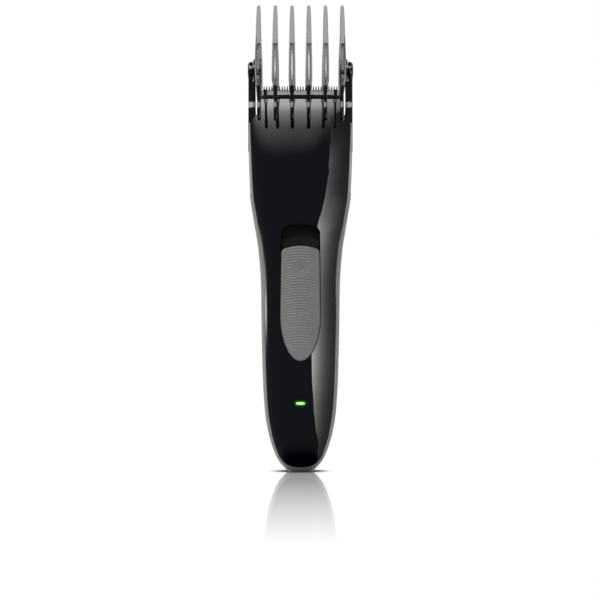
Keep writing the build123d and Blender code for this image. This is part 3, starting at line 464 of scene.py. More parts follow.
def piece(name, vertices, faces, slot, body, replaces=()):
    """A mesh piece from millimetre coordinates, with its finish, body and stood-for nodes."""
    made = add_mesh(name, vertices, faces)
    made.data.validate()
    dress(made, slot)
    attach(made, body)
    if replaces:
        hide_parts(*replaces)
    return made


def dress(made, finish):
    """Give a piece its finish; printed marks have a finish of their own and no slot in the record."""
    made.data.materials.clear()
    made.data.materials.append(FINISHES[finish])
    finish in SLOTS


def carve(target, tools, operation="DIFFERENCE"):
    """Cut with each tool, keep the result as the target's mesh and delete the tools."""
    for tool in tools:
        cut = target.modifiers.new(tool.name, "BOOLEAN")
        cut.operation = operation
        cut.object = tool
        cut.solver = "MANIFOLD"
    graph = bpy.context.evaluated_depsgraph_get()
    result = bpy.data.meshes.new_from_object(target.evaluated_get(graph))
    target.modifiers.clear()
    target.data = result
    for tool in tools:
        bpy.data.objects.remove(tool)


def curve_through(points, steps):
    """Natural cubic curve through points, evenly stepped in chord length."""
    pts = np.asarray(points, dtype=float)
    keys = np.concatenate([[0], np.cumsum(np.linalg.norm(np.diff(pts, axis=0), axis=1))])
    count = len(pts)
    matrix = np.zeros((count, count))
    right = np.zeros((count, pts.shape[1]))
    matrix[0, 0] = matrix[-1, -1] = 1
    h = np.diff(keys)
    for i in range(1, count - 1):
        matrix[i, i - 1:i + 2] = h[i - 1], 2 * (h[i - 1] + h[i]), h[i]
        right[i] = 6 * ((pts[i + 1] - pts[i]) / h[i] - (pts[i] - pts[i - 1]) / h[i - 1])
    bend = np.linalg.solve(matrix, right)
    where = np.linspace(0, keys[-1], steps)
    i = np.clip(np.searchsorted(keys, where, side="right") - 1, 0, count - 2)
    a, b = (keys[i + 1] - where)[:, None], (where - keys[i])[:, None]
    g = h[i][:, None]
    return (
        bend[i] * a ** 3 / (6 * g) + bend[i + 1] * b ** 3 / (6 * g)
        + (pts[i] / g - bend[i] * g / 6) * a + (pts[i + 1] / g - bend[i + 1] * g / 6) * b
    )


def arc_through(first, middle, last, steps):
    """Circular arc through three points."""
    (ax, ay), (bx, by), (cx, cy) = first, middle, last
    d = 2 * (ax * (by - cy) + bx * (cy - ay) + cx * (ay - by))
    ux = ((ax**2 + ay**2) * (by - cy) + (bx**2 + by**2) * (cy - ay) + (cx**2 + cy**2) * (ay - by)) / d
    uy = ((ax**2 + ay**2) * (cx - bx) + (bx**2 + by**2) * (ax - cx) + (cx**2 + cy**2) * (bx - ax)) / d
    start, mid, end = (math.atan2(y - uy, x - ux) for x, y in (first, middle, last))
    turn = (end - start) % (2 * math.pi)
    if (mid - start) % (2 * math.pi) > turn:
        turn -= 2 * math.pi
    radius = math.hypot(ax - ux, ay - uy)
    angles = start + turn * np.linspace(0, 1, steps)
    return np.stack([ux + radius * np.cos(angles), uy + radius * np.sin(angles)], axis=1)


def s_bend(start, end, steps=12):
    """Run between two points that leaves and arrives straight up or down."""
    t = np.linspace(0, 1, steps)
    ease = t * t * (3 - 2 * t)
    return np.column_stack([start[0] + (end[0] - start[0]) * ease, start[1] + (end[1] - start[1]) * t])


def span(side, near, far):
    """Range along x of what lies between two distances on one side."""
    return sorted((side * near, side * far))


def closed(*runs):
    """One closed outline from runs of points, without doubled points."""
    points = np.concatenate([np.asarray(run, dtype=float) for run in runs])
    keep = np.linalg.norm(points - np.roll(points, 1, axis=0), axis=1) > 1e-4
    points = points[keep]
    x, y = points[:, 0], points[:, 1]
    area = np.sum(x * np.roll(y, -1) - np.roll(x, -1) * y)
    return points if area > 0 else points[::-1]


def rectangle(u, v):
    """Outline between two ends along each direction."""
    return closed([(u[0], v[0]), (u[1], v[0]), (u[1], v[1]), (u[0], v[1])])


def circle(radius, height, count):
    """Round outline about a point on the middle plane."""
    turn = np.linspace(0, 2 * math.pi, count + 1)[:-1]
    return closed(np.column_stack([radius * np.cos(turn), height + radius * np.sin(turn)]))


def rounded(outline, corner, radius, steps):
    """A counter-clockwise outline with one right-angled corner rounded."""
    corner = np.asarray(corner, dtype=float)
    away = np.linalg.norm(outline - corner, axis=1)
    start = int(np.argmin(away))
    ordered = np.roll(outline, -start, axis=0)
    away = np.roll(away, -start)
    keep = ordered[away > radius]
    before, after = keep[-1] - corner, keep[0] - corner
    before, after = before / np.linalg.norm(before), after / np.linalg.norm(after)
    turn = np.linspace(0, math.pi / 2, steps)[:, None]
    middle = corner + radius * (before + after)
    arc = middle - radius * (after * np.cos(turn) + before * np.sin(turn))
    return closed(keep, arc)


def inset(outline, amount):
    """A counter-clockwise outline drawn in by an amount."""
    before, after = np.roll(outline, 1, axis=0), np.roll(outline, -1, axis=0)
    first, second = outline - before, after - outline
    first /= np.linalg.norm(first, axis=1)[:, None]
    second /= np.linalg.norm(second, axis=1)[:, None]
    n1 = np.stack([-first[:, 1], first[:, 0]], axis=1)
    n2 = np.stack([-second[:, 1], second[:, 0]], axis=1)
    bisector = n1 + n2
    bisector /= np.maximum(np.sum(bisector * bisector, axis=1)[:, None] / 2, 0.35)
    return outline + bisector * amount


def ring_faces(rings, count, inside_out=False):
    """Faces of a closed body of stacked rings, with both its ends."""
    faces = []
    for a in range(0, (rings - 1) * count, count):
        b = a + count
        for i in range(count):
            j = (i + 1) % count
            faces.append((a + i, b + i, b + j, a + j) if inside_out else (a + i, a + j, b + j, b + i))
    first, last = tuple(range(count)), tuple(range((rings - 1) * count, rings * count))
    return faces + ([first, last[::-1]] if inside_out else [first[::-1], last])


def grid_faces(rows, columns):
    """Faces of an open grid of points."""
    return [
        (a, a + 1, a + columns + 1, a + columns)
        for row in range(rows - 1) for a in range(row * columns, (row + 1) * columns - 1)
    ]


def slab(outline, low, high, bevel, rings=4):
    """Plate with rounded edges: rings of (u, v, w) points from w = low to w = high, and its faces."""
    outline = np.asarray(outline)
    levels = []
    for i in range(rings + 1):
        turn = math.pi / 2 * i / rings
        levels.append((bevel * (1 - math.sin(turn)), low + bevel * (1 - math.cos(turn))))
    levels += [(drawn_in, high - (w - low)) for drawn_in, w in reversed(levels)]
    vertices = []
    for drawn_in, w in levels:
        ring = inset(outline, drawn_in) if drawn_in > 1e-6 else outline
        vertices.append(np.column_stack([ring, np.full(len(ring), w)]))
    return np.concatenate(vertices), ring_faces(len(levels), len(outline))


def smooth_shade(made, angle=40):
    """Smooth shading that keeps edges sharper than the angle."""
    mesh = made.data
    mesh.polygons.foreach_set("use_smooth", [True] * len(mesh.polygons))
    mesh.set_sharp_from_angle(angle=math.radians(angle))


def side_plate(name, outline, x, bevel, slot, body, replaces, warp=None, rings=4):
    """Plate drawn as (y, z) and given its thickness along x."""
    points, faces = slab(outline, *x, bevel, rings)
    placed = np.column_stack([points[:, 2], points[:, 0], points[:, 1]])
    if warp:
        placed = warp(placed)
    made = piece(name, placed, faces, slot, body, replaces)
    smooth_shade(made)
    return made


def face_plate(name, outline, depth, thickness, bevel, slot, body, replaces=()):
    """Plate drawn as (x, z) that goes backwards from a depth."""
    points, faces = slab(outline, 0, thickness, bevel)
    placed = np.column_stack([points[:, 0], depth + points[:, 2], points[:, 1]])
    smooth_shade(piece(name, placed, [face[::-1] for face in faces], slot, body, replaces))


def lathe_x(name, profile, height, slot, body, replaces, segments=72):
    """Turned piece: profile of (x, radius) points about an axis along x on the middle plane."""
    vertices = []
    for x, radius in profile:
        for i in range(segments):
            turn = 2 * math.pi * i / segments
            vertices.append((x, radius * math.cos(turn), height + radius * math.sin(turn)))
    faces = ring_faces(len(profile), segments, inside_out=True)
    smooth_shade(piece(name, vertices, faces, slot, body, replaces))


def box_tool(name, x, y, z):
    """Block between two ends along each axis."""
    corners = [(x[i], y[j], z[k]) for i in (0, 1) for j in (0, 1) for k in (0, 1)]
    faces = [(0, 1, 3, 2), (4, 6, 7, 5), (0, 4, 5, 1), (2, 3, 7, 6), (0, 2, 6, 4), (1, 5, 7, 3)]
    return add_mesh(name, corners, faces)


def prism_tool(name, outline, low, high, axis):
    """Straight prism of an outline along x (drawn as y, z) or along y (drawn as x, z)."""
    faces = ring_faces(2, len(outline))
    if axis == "x":
        return add_mesh(name, [(w, u, v) for w in (low, high) for u, v in outline], faces)
    faces = [face[::-1] for face in faces]
    return add_mesh(name, [(u, w, v) for w in (low, high) for u, v in outline], faces)


# ======== casing shape
def blend_curve(rows, column):
    """Smooth curve through a table's column, without overshoot; works on arrays."""
    keys = np.array([row[0] for row in rows])
    values = np.array([row[column] for row in rows])
    steps, slopes = np.diff(keys), np.diff(values) / np.diff(keys)
    tangents = np.empty(len(keys))
    tangents[0], tangents[-1] = slopes[0], slopes[-1]
    for i in range(1, len(steps)):
        if slopes[i - 1] * slopes[i] <= 0:
            tangents[i] = 0
            continue
        w1, w2 = steps[i - 1] + 2 * steps[i], 2 * steps[i - 1] + steps[i]
        tangents[i] = (w1 + w2) / (w1 / slopes[i - 1] + w2 / slopes[i])

    def value(key):
        i = np.clip(np.searchsorted(keys, key) - 1, 0, len(steps) - 1)
        h = steps[i]
        u = (key - keys[i]) / h
        return (
            (1 + 2 * u) * (1 - u) ** 2 * values[i] + u * (1 - u) ** 2 * h * tangents[i]
            + u * u * (3 - 2 * u) * values[i + 1] + u * u * (u - 1) * h * tangents[i + 1]
        )

    return value


WIDTH, FRONT, REAR, SQUARE = (blend_curve(CASING_SECTIONS, column) for column in (1, 2, 3, 4))
PARTING = blend_curve(PARTING_LINE, 1)


def front_square(share):
    """Squareness of the front half, which flattens towards the rim."""
    rise = np.clip((share - 0.76) / 0.23, 0, 1)
    return SQUARE(share) + 1.2 * rise * rise * (3 - 2 * rise)


def level_set(points, drawn_in=0.0):
    """Below zero inside the casing's shape, above zero outside."""
    x, y, z = np.abs(points[:, 0]), points[:, 1], points[:, 2] / RIM
    depth = np.where(y > 0, REAR(z), FRONT(z)) - drawn_in
    power = np.where(y > 0, SQUARE(z), front_square(z))
    return (x / (WIDTH(z) - drawn_in)) ** power + (np.abs(y) / depth) ** power - 1


def casing_normals(points):
    """Outward directions of the casing's surface."""
    step = 0.02
    slopes = []
    for axis in range(3):
        ahead, behind = points.copy(), points.copy()
        ahead[:, axis] += step
        behind[:, axis] -= step
        slopes.append(level_set(ahead) - level_set(behind))
    normals = np.stack(slopes, axis=1)
    return normals / np.linalg.norm(normals, axis=1)[:, None]


def casing_ring(z, drawn_in, columns):
    """Evenly spaced points round one section."""
    share = z / RIM
    turn = np.linspace(0, 2 * math.pi, 4001)
    c, s = np.cos(turn), np.sin(turn)
    power = 2 / np.where(s > 0, SQUARE(share), front_square(share))
    depth = np.where(s > 0, REAR(share), FRONT(share)) - drawn_in
    x = (WIDTH(share) - drawn_in) * np.sign(c) * np.abs(c) ** power
    y = depth * np.sign(s) * np.abs(s) ** power
    run = np.concatenate([[0], np.cumsum(np.hypot(np.diff(x), np.diff(y)))])
    where = np.linspace(0, run[-1], columns + 1)[:-1]
    return np.column_stack([np.interp(where, run, x), np.interp(where, run, y), np.full(columns, z)])


def casing_block(name, drawn_in, z_low, z_high, rows, columns):
    """Closed solid of the casing's shape."""
    crowd = np.linspace(0, 1, rows) ** 1.35
    levels = z_low + (z_high - z_low) * crowd
    rings = np.concatenate([casing_ring(z, drawn_in, columns) for z in levels])
    return add_mesh(name, rings, ring_faces(rows, columns))


def give_true_normals(made):
    """Shade what lies on the casing's surface with its exact directions, the rest by its faces."""
    mesh = made.data
    count = len(mesh.vertices)
    places = np.empty(count * 3)
    mesh.vertices.foreach_get("co", places)
    places = places.reshape(-1, 3) / MM
    true = casing_normals(places)
    close = np.abs(level_set(places)) < 0.02
    loops = np.empty(len(mesh.loops), dtype=int)
    mesh.loops.foreach_get("vertex_index", loops)
    normals = np.empty((len(loops), 3))
    for face in mesh.polygons:
        flat = np.array(face.normal)
        part = slice(face.loop_start, face.loop_start + face.loop_total)
        corners = loops[part]
        fits = close[corners] & (true[corners] @ flat > 0.9)
        normals[part] = np.where(fits[:, None], true[corners], flat)
    mesh.polygons.foreach_set("use_smooth", [True] * len(mesh.polygons))
    mesh.normals_split_custom_set(normals.tolist())


def slider_outline(grow, top, corner, arch_steps, corner_steps):
    """Outline of the slider's pad or of its recess, drawn as (x, z)."""
    half, top_half = PAD_HALF + grow, PAD_TOP_HALF + grow
    side, waist = top - PAD_ARCH, PAD_BOTTOM + PAD_TAPER
    arch = arc_through((top_half, side), (0, top), (-top_half, side), arch_steps)
    turn = np.linspace(math.pi, 2 * math.pi, 2 * arch_steps)
    tongue = np.column_stack([half * np.cos(turn), waist + (PAD_TAPER + grow) * np.sin(turn)])
    outline = closed(arch, tongue)
    for mirror in SIDES:
        outline = rounded(outline, (mirror * top_half, side), corner, corner_steps)
    return outline


def light_outline(grow=0.0, steps=16):
    """Pill-shaped outline of the charge light, drawn as (x, z)."""
    radius = LIGHT_TALL / 2 + grow
    reach = (LIGHT_WIDTH - LIGHT_TALL) / 2
    ends = []
    for side in SIDES:
        turn = -side * math.pi / 2 + np.linspace(0, math.pi, steps)
        ends.append(
            np.column_stack([side * reach + radius * np.cos(turn), LIGHT_HEIGHT + radius * np.sin(turn)])
        )
    return closed(*ends)


def rear_side(shift):
    """Outline behind the line where the shells meet, drawn as (y, z)."""
    shares = np.linspace(PARTING_LINE[0][0], PARTING_LINE[-1][0], 90)
    line = np.column_stack([PARTING(shares) + shift, shares * RIM])
    low = PARTING_LINE[0][0] * RIM
    return closed(line, [(BEYOND, 1.01 * RIM), (BEYOND, -5), (-BEYOND, -5), (-BEYOND, low)])


def shoulder_tools():
    """What the shoulders and the narrow head leave away."""
    tools = []
    far, above = SHOULDER + 5, RIM + 6
    for side in SIDES:
        outline = closed(
            [
                (side * RIM_HALF, above), (side * RIM_HALF, RIM), (side * HEAD_HALF, SHOULDER_TOP),
                (side * far, SHOULDER_LOW - (far - SHOULDER)), (side * far, above),
            ]
        )
        tools.append(prism_tool("shoulder", outline, -OUTSIDE, OUTSIDE, "y"))
    return tools


def groove_tools():
    """Room for the arms, their flanges and the comb's ears."""
    tools = []
    low = ARM_BOTTOM - COMB_TRAVEL - GAP
    top = SHOULDER_TOP + 3
    slot, flange, ear = ARM_HALF + GAP, FLANGE_HALF + GAP, EAR_RADIUS + 2 * GAP
    floor, flange_top, ear_floor = ARM_INNER - GAP, ARM_INNER + 1.3, 18.4
    ear_low = PIVOT - EAR_RADIUS - COMB_TRAVEL - 2 * GAP
    for side in SIDES:
        tools.append(box_tool("slot", span(side, floor, OUTSIDE), (-slot, slot), (low, top)))
        tools.append(box_tool("undercut", span(side, floor, flange_top), (-flange, flange), (low, top)))
        tools.append(box_tool("ear_room", span(side, ear_floor, OUTSIDE), (-ear, ear), (ear_low, top)))
    return tools


def casing_shell(name):
    """Whole form of the casing, before it is cut."""
    return casing_block(name, 0, 0, SHELL_TOP, SHELL_ROWS, SHELL_COLUMNS)


def casing_hollow():
    """Room inside the casing's wall."""
    return casing_block("hollow", WALL, WALL, RIM + 1, HOLLOW_ROWS, HOLLOW_COLUMNS)


def finish_shell(shell, finish, node):
    """Shading, finish and body of a cut shell."""
    give_true_normals(shell)
    dress(shell, finish)
    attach(shell, "housing")
    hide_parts(node)


def front_shell():
    """Gloss front with the slider's recess and the light's slot."""
    shell = casing_shell("front_shell")
    recess = slider_outline(RECESS_GAP, RECESS_TOP, RECESS_CORNER, 60, 14)
    tools = [casing_hollow()] + shoulder_tools() + groove_tools()
    tools.append(prism_tool("behind", rear_side(-SHADOW_GAP), -BEYOND, BEYOND, "x"))
    tools.append(prism_tool("recess", recess, -BEYOND, 0, "y"))
    tools.append(prism_tool("light", light_outline(), -BEYOND, -10, "y"))
    carve(shell, tools)
    finish_shell(shell, "gloss_black", "front_casing")


def rear_shell():
    """Satin rear with the arms' grooves, the selector's slot, the inlet and the screw seats."""
    shell = casing_shell("rear_shell")
    carve(shell, [prism_tool("behind", rear_side(0), -BEYOND, BEYOND, "x")], "INTERSECT")
    hollow = casing_hollow()
    liner_inner, liner_half, liner_low = 17.9, 7.5, ARM_BOTTOM - COMB_TRAVEL - 2.1
    over = SHOULDER_TOP + 2
    liners = [
        box_tool("liner", span(side, liner_inner, BEYOND), (-liner_half, liner_half), (liner_low, over))
        for side in SIDES
    ]
    carve(hollow, liners)
    slot = BUTTON_HEIGHT - SLOT_REACH - COMB_TRAVEL, BUTTON_HEIGHT + SLOT_REACH
    tools = [hollow] + shoulder_tools() + groove_tools()
    tools.append(box_tool("selector_slot", (-1.8, 1.8), (7, OUTSIDE), slot))
    tools.append(box_tool("socket_hole", (-4.4, 4.4), (-3.3, 3.3), (-1, 9)))
    for height in SCREW_HEIGHTS:
        tools.append(prism_tool("screw_seat", circle(SCREW_SEAT_RADIUS, height, 48), 9.4, OUTSIDE, "y"))
    sight_inner, sight_front = 21.4, -8.9
    for side in SIDES:
        across = span(side, sight_inner, OUTSIDE)
        tools.append(box_tool("arm_sight", across, (sight_front, -ARM_HALF), (ARM_BOTTOM, over)))
    carve(shell, tools)
    finish_shell(shell, "satin_grey", "rear_casing")


def surface_depth(x, z, depth, square):
    """How far the casing's surface is from its middle plane at a place."""
    share = z / RIM
    power = square(share)
    return depth(share) * (1 - np.minimum(np.abs(x) / WIDTH(share), 0.999) ** power) ** (1 / power)


def front_face(x, z):
    return -surface_depth(x, z, FRONT, front_square)


def rear_face(x, z):
    return surface_depth(x, z, REAR, SQUARE)


# ======== slider
def power_mark(x, z):
    """Height of a plain on/off mark: a ring open at the top and a bar in the opening."""
    up = z - DIMPLE_HEIGHT
    line, ring_radius, bar_top = 0.32, 1.9, 2.9
    ring = np.clip(1.3 - np.abs(np.hypot(x, up) - ring_radius) / line, 0, 1)
    opening = (up > 0) & (np.abs(x) < 0.95)
    ends = np.clip((up - 0.2) / 0.2, 0, 1) * np.clip((bar_top - up) / 0.2, 0, 1)
    bar = np.clip(1.3 - np.abs(x) / line, 0, 1) * ends
    return np.maximum(np.where(opening, 0, ring), bar)


def edge_distance(x, z, outline):
    """How far each place is from an outline."""
    flat = np.column_stack([x.ravel(), z.ravel()])
    distance = np.full(len(flat), 1e9)
    for start, end in zip(outline, np.roll(outline, -1, axis=0)):
        along = end - start
        t = np.clip(((flat - start) @ along) / (along @ along), 0, 1)
        distance = np.minimum(distance, np.linalg.norm(flat - start - t[:, None] * along, axis=1))
    return distance.reshape(x.shape)


def pad_relief(x, z, outline):
    """Rolled rim, dimple, arched ribs and mark of the pad: how far each place lies back."""
    roll = np.clip(1 - edge_distance(x, z, outline) / PAD_EDGE, 0, 1)
    rounding = PAD_EDGE * (1 - np.sqrt(1 - roll ** 2)) * 0.8
    arch = (PAD_TOP_HALF ** 2 + PAD_ARCH ** 2) / (2 * PAD_ARCH) * 1.12
    below_top = PAD_TOP + 0.4 - (z - np.sqrt(np.maximum(arch ** 2 - x ** 2, 0)) + arch)
    ribs = 0.5 + 0.5 * np.cos(2 * math.pi * below_top / RIB_PITCH)
    band = np.clip((7.0 - np.abs(x)) / 1.2, 0, 1) * np.clip((z - PAD_BOTTOM - 4.5) / 3, 0, 1)
    inside = np.hypot(x, z - DIMPLE_HEIGHT)
    outside_dimple = np.clip((inside - DIMPLE_RADIUS) / 0.5, 0, 1)
    dimple = np.clip(1 - (inside / DIMPLE_RADIUS) ** 2, 0, 1) * DIMPLE_DEPTH
    return rounding + dimple + RIB_DEPTH * (1 - ribs) * band * outside_dimple - MARK_DEPTH * power_mark(x, z)


def grip_pad():
    """Soft pad: crowned, round-edged, with arched ribs, a dimple and a plain on/off mark."""
    columns, rows = 200, 460
    s = np.sin(np.linspace(-1, 1, columns) * math.pi / 2)
    v = np.linspace(0, 1, rows)
    v = v - 0.06 * np.sin(2 * math.pi * v) / (2 * math.pi)
    side, waist = PAD_TOP - PAD_ARCH, PAD_BOTTOM + PAD_TAPER
    low = waist - PAD_TAPER * np.sqrt(np.maximum(1 - s * s, 0))
    outline = slider_outline(0, PAD_TOP, PAD_CORNER, 160, 8)
    crest = outline[outline[:, 1] > side - PAD_CORNER * 0.9]
    crest = crest[np.argsort(crest[:, 0])]
    top = np.interp(s * PAD_TOP_HALF, crest[:, 0], crest[:, 1])
    z = low[None, :] + v[:, None] * (top - low)[None, :]
    half = np.where(z > waist, PAD_HALF + (PAD_TOP_HALF - PAD_HALF) * (z - waist) / (side - waist), PAD_HALF)
    x = s[None, :] * half
    depth = front_face(x, z) - PAD_CROWN + pad_relief(x, z, outline)
    front = np.column_stack([x.ravel(), depth.ravel(), z.ravel()])
    index = np.arange(rows * columns).reshape(rows, columns)
    loop = list(index[0, :]) + list(index[1:, -1]) + list(index[-1, -2::-1]) + list(index[-2:0:-1, 0])
    back = front[loop].copy()
    back[:, 1] = PAD_BACK
    start, count = len(front), len(loop)
    faces = grid_faces(rows, columns)
    faces += [(loop[(i + 1) % count], loop[i], start + i, start + (i + 1) % count) for i in range(count)]
    faces.append(tuple(start + i for i in range(count))[::-1])
    made = piece("grip_pad", np.concatenate([front, back]), faces, "grip_grey", "switch", ["slider_grip"])
    smooth_shade(made, 60)


def light_window():
    """Pill-shaped window with a softly domed face."""
    depth = front_face(0.0, LIGHT_HEIGHT) - 0.05
    face_plate("light_window", light_outline(-0.02), depth, 4.6, 0.3, "green_lens", "housing", ["led_lens"])


# ======== comb and arms
def tine_outline():
    """Fork of one tine, drawn as (y, z)."""
    shin = [(-LEG_OUT, FRONT_TOE + 1.2)]
    knee = s_bend((-LEG_OUT, KNEE_LOW), (-LEG_OUT + KNEE_STEP, KNEE_TOP))
    front_edge = curve_through(
        [
            (-LEG_OUT + KNEE_STEP, KNEE_TOP), (-LEG_OUT + 2.2, PIVOT - 4),
            (-LEG_OUT * 0.69, PIVOT + 10), (-LEG_OUT * 0.38, COMB_TOP - 8.5), (-1.8, COMB_TOP - 0.4),
        ], 60,
    )
    tip = arc_through((-1.8, COMB_TOP - 0.4), (-0.2, COMB_TOP), (1.4, COMB_TOP - 0.5), 8)
    bar_low = TOE + 0.5
    rear_edge = curve_through(
        [
            (1.4, COMB_TOP - 0.5), (LEG_OUT * 0.34, COMB_TOP - 9.5), (LEG_OUT * 0.62, PIVOT + 10),
            (LEG_OUT * 0.82, PIVOT - 4), (LEG_OUT - 1.2, RIM - 1), (LEG_OUT, bar_low + 5),
        ], 60,
    )
    foot = [(LEG_OUT, bar_low), (BAR_IN, bar_low)]
    rear_inner = curve_through([(BAR_IN, bar_low + 5), (LEG_OUT * 0.70, PIVOT - 4), (11.5, ROOF - 6)], 24)
    roof = curve_through(
        [(11.5, ROOF - 6), (6.5, ROOF - 1.2), (0, ROOF), (-6.5, ROOF - 1.2), (-11.5, ROOF - 6)], 30
    )
    front_inner = curve_through(
        [(-11.5, ROOF - 6), (-LEG_IN + 2.1, PIVOT - 4), (-LEG_IN, FRONT_TOE + 1.2)], 24
    )
    toe = arc_through(
        (-LEG_IN, FRONT_TOE + 1.2), (-(LEG_IN + LEG_OUT) / 2, FRONT_TOE), (-LEG_OUT, FRONT_TOE + 1.2), 10
    )
    return closed(shin, knee, front_edge, tip, rear_edge, foot, rear_inner, roof, front_inner, toe)


def tine_half(y, z):
    """Half thickness: full over the head, thinning to the tips, and slim down the front legs."""
    leg = 0.675 - 0.010 * (z - PIVOT)
    blade = np.interp(z, [PIVOT, PIVOT + 5, PIVOT + 12, PIVOT + 19, PIVOT + 25, COMB_TOP],
                      [1.50, 1.46, 1.26, 1.16, 1.02, 0.82])
    share = np.clip((z - (RIM + 2.6)) / 3.4, 0, 1)
    return leg + (blade - leg) * share * share * (3 - 2 * share)


def comb_tines():
    """Six tines; the outer ones lean in a little towards their toes."""
    outline = tine_outline()
    for i in range(TINE_COUNT):
        middle = (i - (TINE_COUNT - 1) / 2) * TINE_PITCH

        def taper(points, middle=middle):
            placed = points.copy()
            lean = 1 - 0.019 * np.clip((RIM + 6 - points[:, 2]) / 3.4, 0, 1)
            placed[:, 0] = middle * lean + points[:, 0] * tine_half(points[:, 1], points[:, 2])
            return placed

        side_plate(f"tine_{i + 1}", outline, (-1, 1), 0.8, "smoky_clear", "comb", ["comb_tines"], taper, 8)


def arm_outline():
    """Arm with an S-bend below its neck, drawn as (y, z)."""
    neck = PIVOT - KNUCKLE_RADIUS - 1.2
    front = s_bend((-NECK_HALF, BEND_TOP), (-ARM_HALF, BEND_LOW))
    rear = s_bend((ARM_HALF, BEND_LOW), (NECK_HALF, BEND_TOP))
    flare = KNUCKLE_RADIUS * 0.86
    return closed(
        front, [(-ARM_HALF, ARM_BOTTOM), (ARM_HALF, ARM_BOTTOM)], rear,
        [(NECK_HALF, neck), (flare, PIVOT - 0.5), (-flare, PIVOT - 0.5), (-NECK_HALF, neck)],
    )


def knuckle_profile(side):
    """Domed disc with the pin's shallow seat in its middle, as (x, radius) points."""
    radius, dome = KNUCKLE_RADIUS, KNUCKLE_DOME
    profile = [
        (KNUCKLE_INNER, 2.0), (KNUCKLE_INNER, radius - KNUCKLE_LIP), (KNUCKLE_INNER + KNUCKLE_LIP, radius),
    ]
    profile += [
        (KNUCKLE_OUTER - dome + dome * math.sin(t), radius - dome + dome * math.cos(t))
        for t in np.linspace(0, math.pi / 2, 12)
    ]
    profile += [(KNUCKLE_OUTER, 2.3), (KNUCKLE_OUTER - 0.25, 2.1), (KNUCKLE_OUTER - 0.25, 0.01)]
    return [(side * x, r) for x, r in profile[::side]]


def arm(side):
    """Arm, its flange and its knuckle, with a rebate for the comb's ear."""
    name = "right_arm" if side > 0 else "left_arm"
    dressing = ("arm_black", "carriage", [name])
    blade = side_plate(f"{name}_blade", arm_outline(), span(side, ARM_INNER, ARM_OUTER), 0.5, *dressing)
    ear = circle(EAR_RADIUS + GAP, PIVOT, 96)
    inside = ARM_INNER - 2
    carve(blade, [
        prism_tool("ear_rebate", ear, *span(side, inside, KNUCKLE_INNER), "x"),
        box_tool("neck_sight", span(side, inside, NECK_INNER), (-6, 6), (RIM - 6.7, PIVOT)),
    ])
    smooth_shade(blade)
    flange = rectangle((-FLANGE_HALF, FLANGE_HALF), (ARM_BOTTOM, RIM - 13.9))
    side_plate(f"{name}_flange", flange, span(side, ARM_INNER, ARM_INNER + 1), 0.15, *dressing)
    lathe_x(name.replace("arm", "knuckle"), knuckle_profile(side), PIVOT, *dressing)


# ======== back: length button and scale
def length_button():
    """Ribbed button head; the neck and foot stay as they are in the solid under it."""
    low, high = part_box("length_button")
    middle = (low[2] + high[2]) / 2 / MM
    outer = high[1] / MM
    dressing = ("arm_black", "selector")
    reach = BUTTON_HALF - BUTTON_CORNER
    corners = []
    for side, end, start in ((1, 1, 0), (-1, 1, 90), (-1, -1, 180), (1, -1, 270)):
        turn = np.radians(start + np.linspace(0, 90, 8))
        round_x, round_z = BUTTON_CORNER * np.cos(turn), BUTTON_CORNER * np.sin(turn)
        corners.append(np.column_stack([side * reach + round_x, end * reach + round_z]))
    face_plate("button_cap", closed(*corners) + (0, middle), outer - 1.58, 1.55, 0.5, *dressing)
    rib = rectangle((-RIB_HALF_WIDTH, RIB_HALF_WIDTH), (-RIB_HALF_HEIGHT, RIB_HALF_HEIGHT))
    for k in range(-2, 3):
        face_plate(f"button_rib_{k + 3}", rib + (0, middle + 1.5 * k), outer - 0.38, 0.4, 0.2, *dressing)


def scale_marks():
    """Ticks and plain lengths beside the selector's slot, laid on the shell's surface."""
    tick_from, tick_to, aside = 5.6, 6.9, 8.8
    for i in range(MARK_STEPS + 1):
        height = BUTTON_HEIGHT - i * (COMB_TRAVEL / MARK_STEPS)
        tick = rectangle((tick_from, tick_to), (-0.12, 0.12)) + (0, height)
        points, faces = slab(tick, 0, 0.12, 0.03, 2)
        depth = rear_face(points[:, 0], points[:, 1]) - 0.06 + points[:, 2]
        placed = np.column_stack([-points[:, 0], depth, points[:, 1]])
        piece(f"tick_{i + 1}", placed, faces, "mark_white", "housing")
        words = bpy.data.curves.new(f"length_{i + 1}", "FONT")
        words.body = str(LONGEST - (LONGEST - SHORTEST) // MARK_STEPS * i)
        words.size = 2.4 * MM
        words.align_x = "CENTER"
        words.align_y = "CENTER"
        words.extrude = 0.05 * MM
        label = bpy.data.objects.new(f"length_{i + 1}", words)
        bpy.context.collection.objects.link(label)
        label.location = (-aside * MM, float(rear_face(aside, height) + 0.03) * MM, height * MM)
        turned = math.atan(rear_face(aside - 0.5, height) - rear_face(aside + 0.5, height))
        leaning = math.atan(rear_face(aside, height - 0.5) - rear_face(aside, height + 0.5))
        label.rotation_euler = (math.pi / 2 - leaning, 0, math.pi + turned)
        dress(label, "mark_white")
        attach(label, "housing")


# ======== assemble
front_shell()
rear_shell()
grip_pad()
light_window()
comb_tines()
for side in SIDES:
    arm(side)
length_button()
scale_marks()

for node, made in frame["nodes"].items():
    made.data.materials.clear()
    finish = "side_web" if node == "comb_side_webs" else NODE_FINISH[node]
    made.data.materials.append(FINISHES[finish])


# ======== stage
ROOM = 0.07                     # dim side of the studio
FLOOR_REACH = 0.42
CARD_RADIUS = 0.6
STRIP_RADIUS = 0.15
WHITE = (1, 1, 1, 1)


def stage_mesh(name, vertices, faces, material):
    """A piece of the studio, placed in metres."""
    made = add_mesh(name, vertices, faces, unit=1)
    made.data.materials.append(material)
    return made


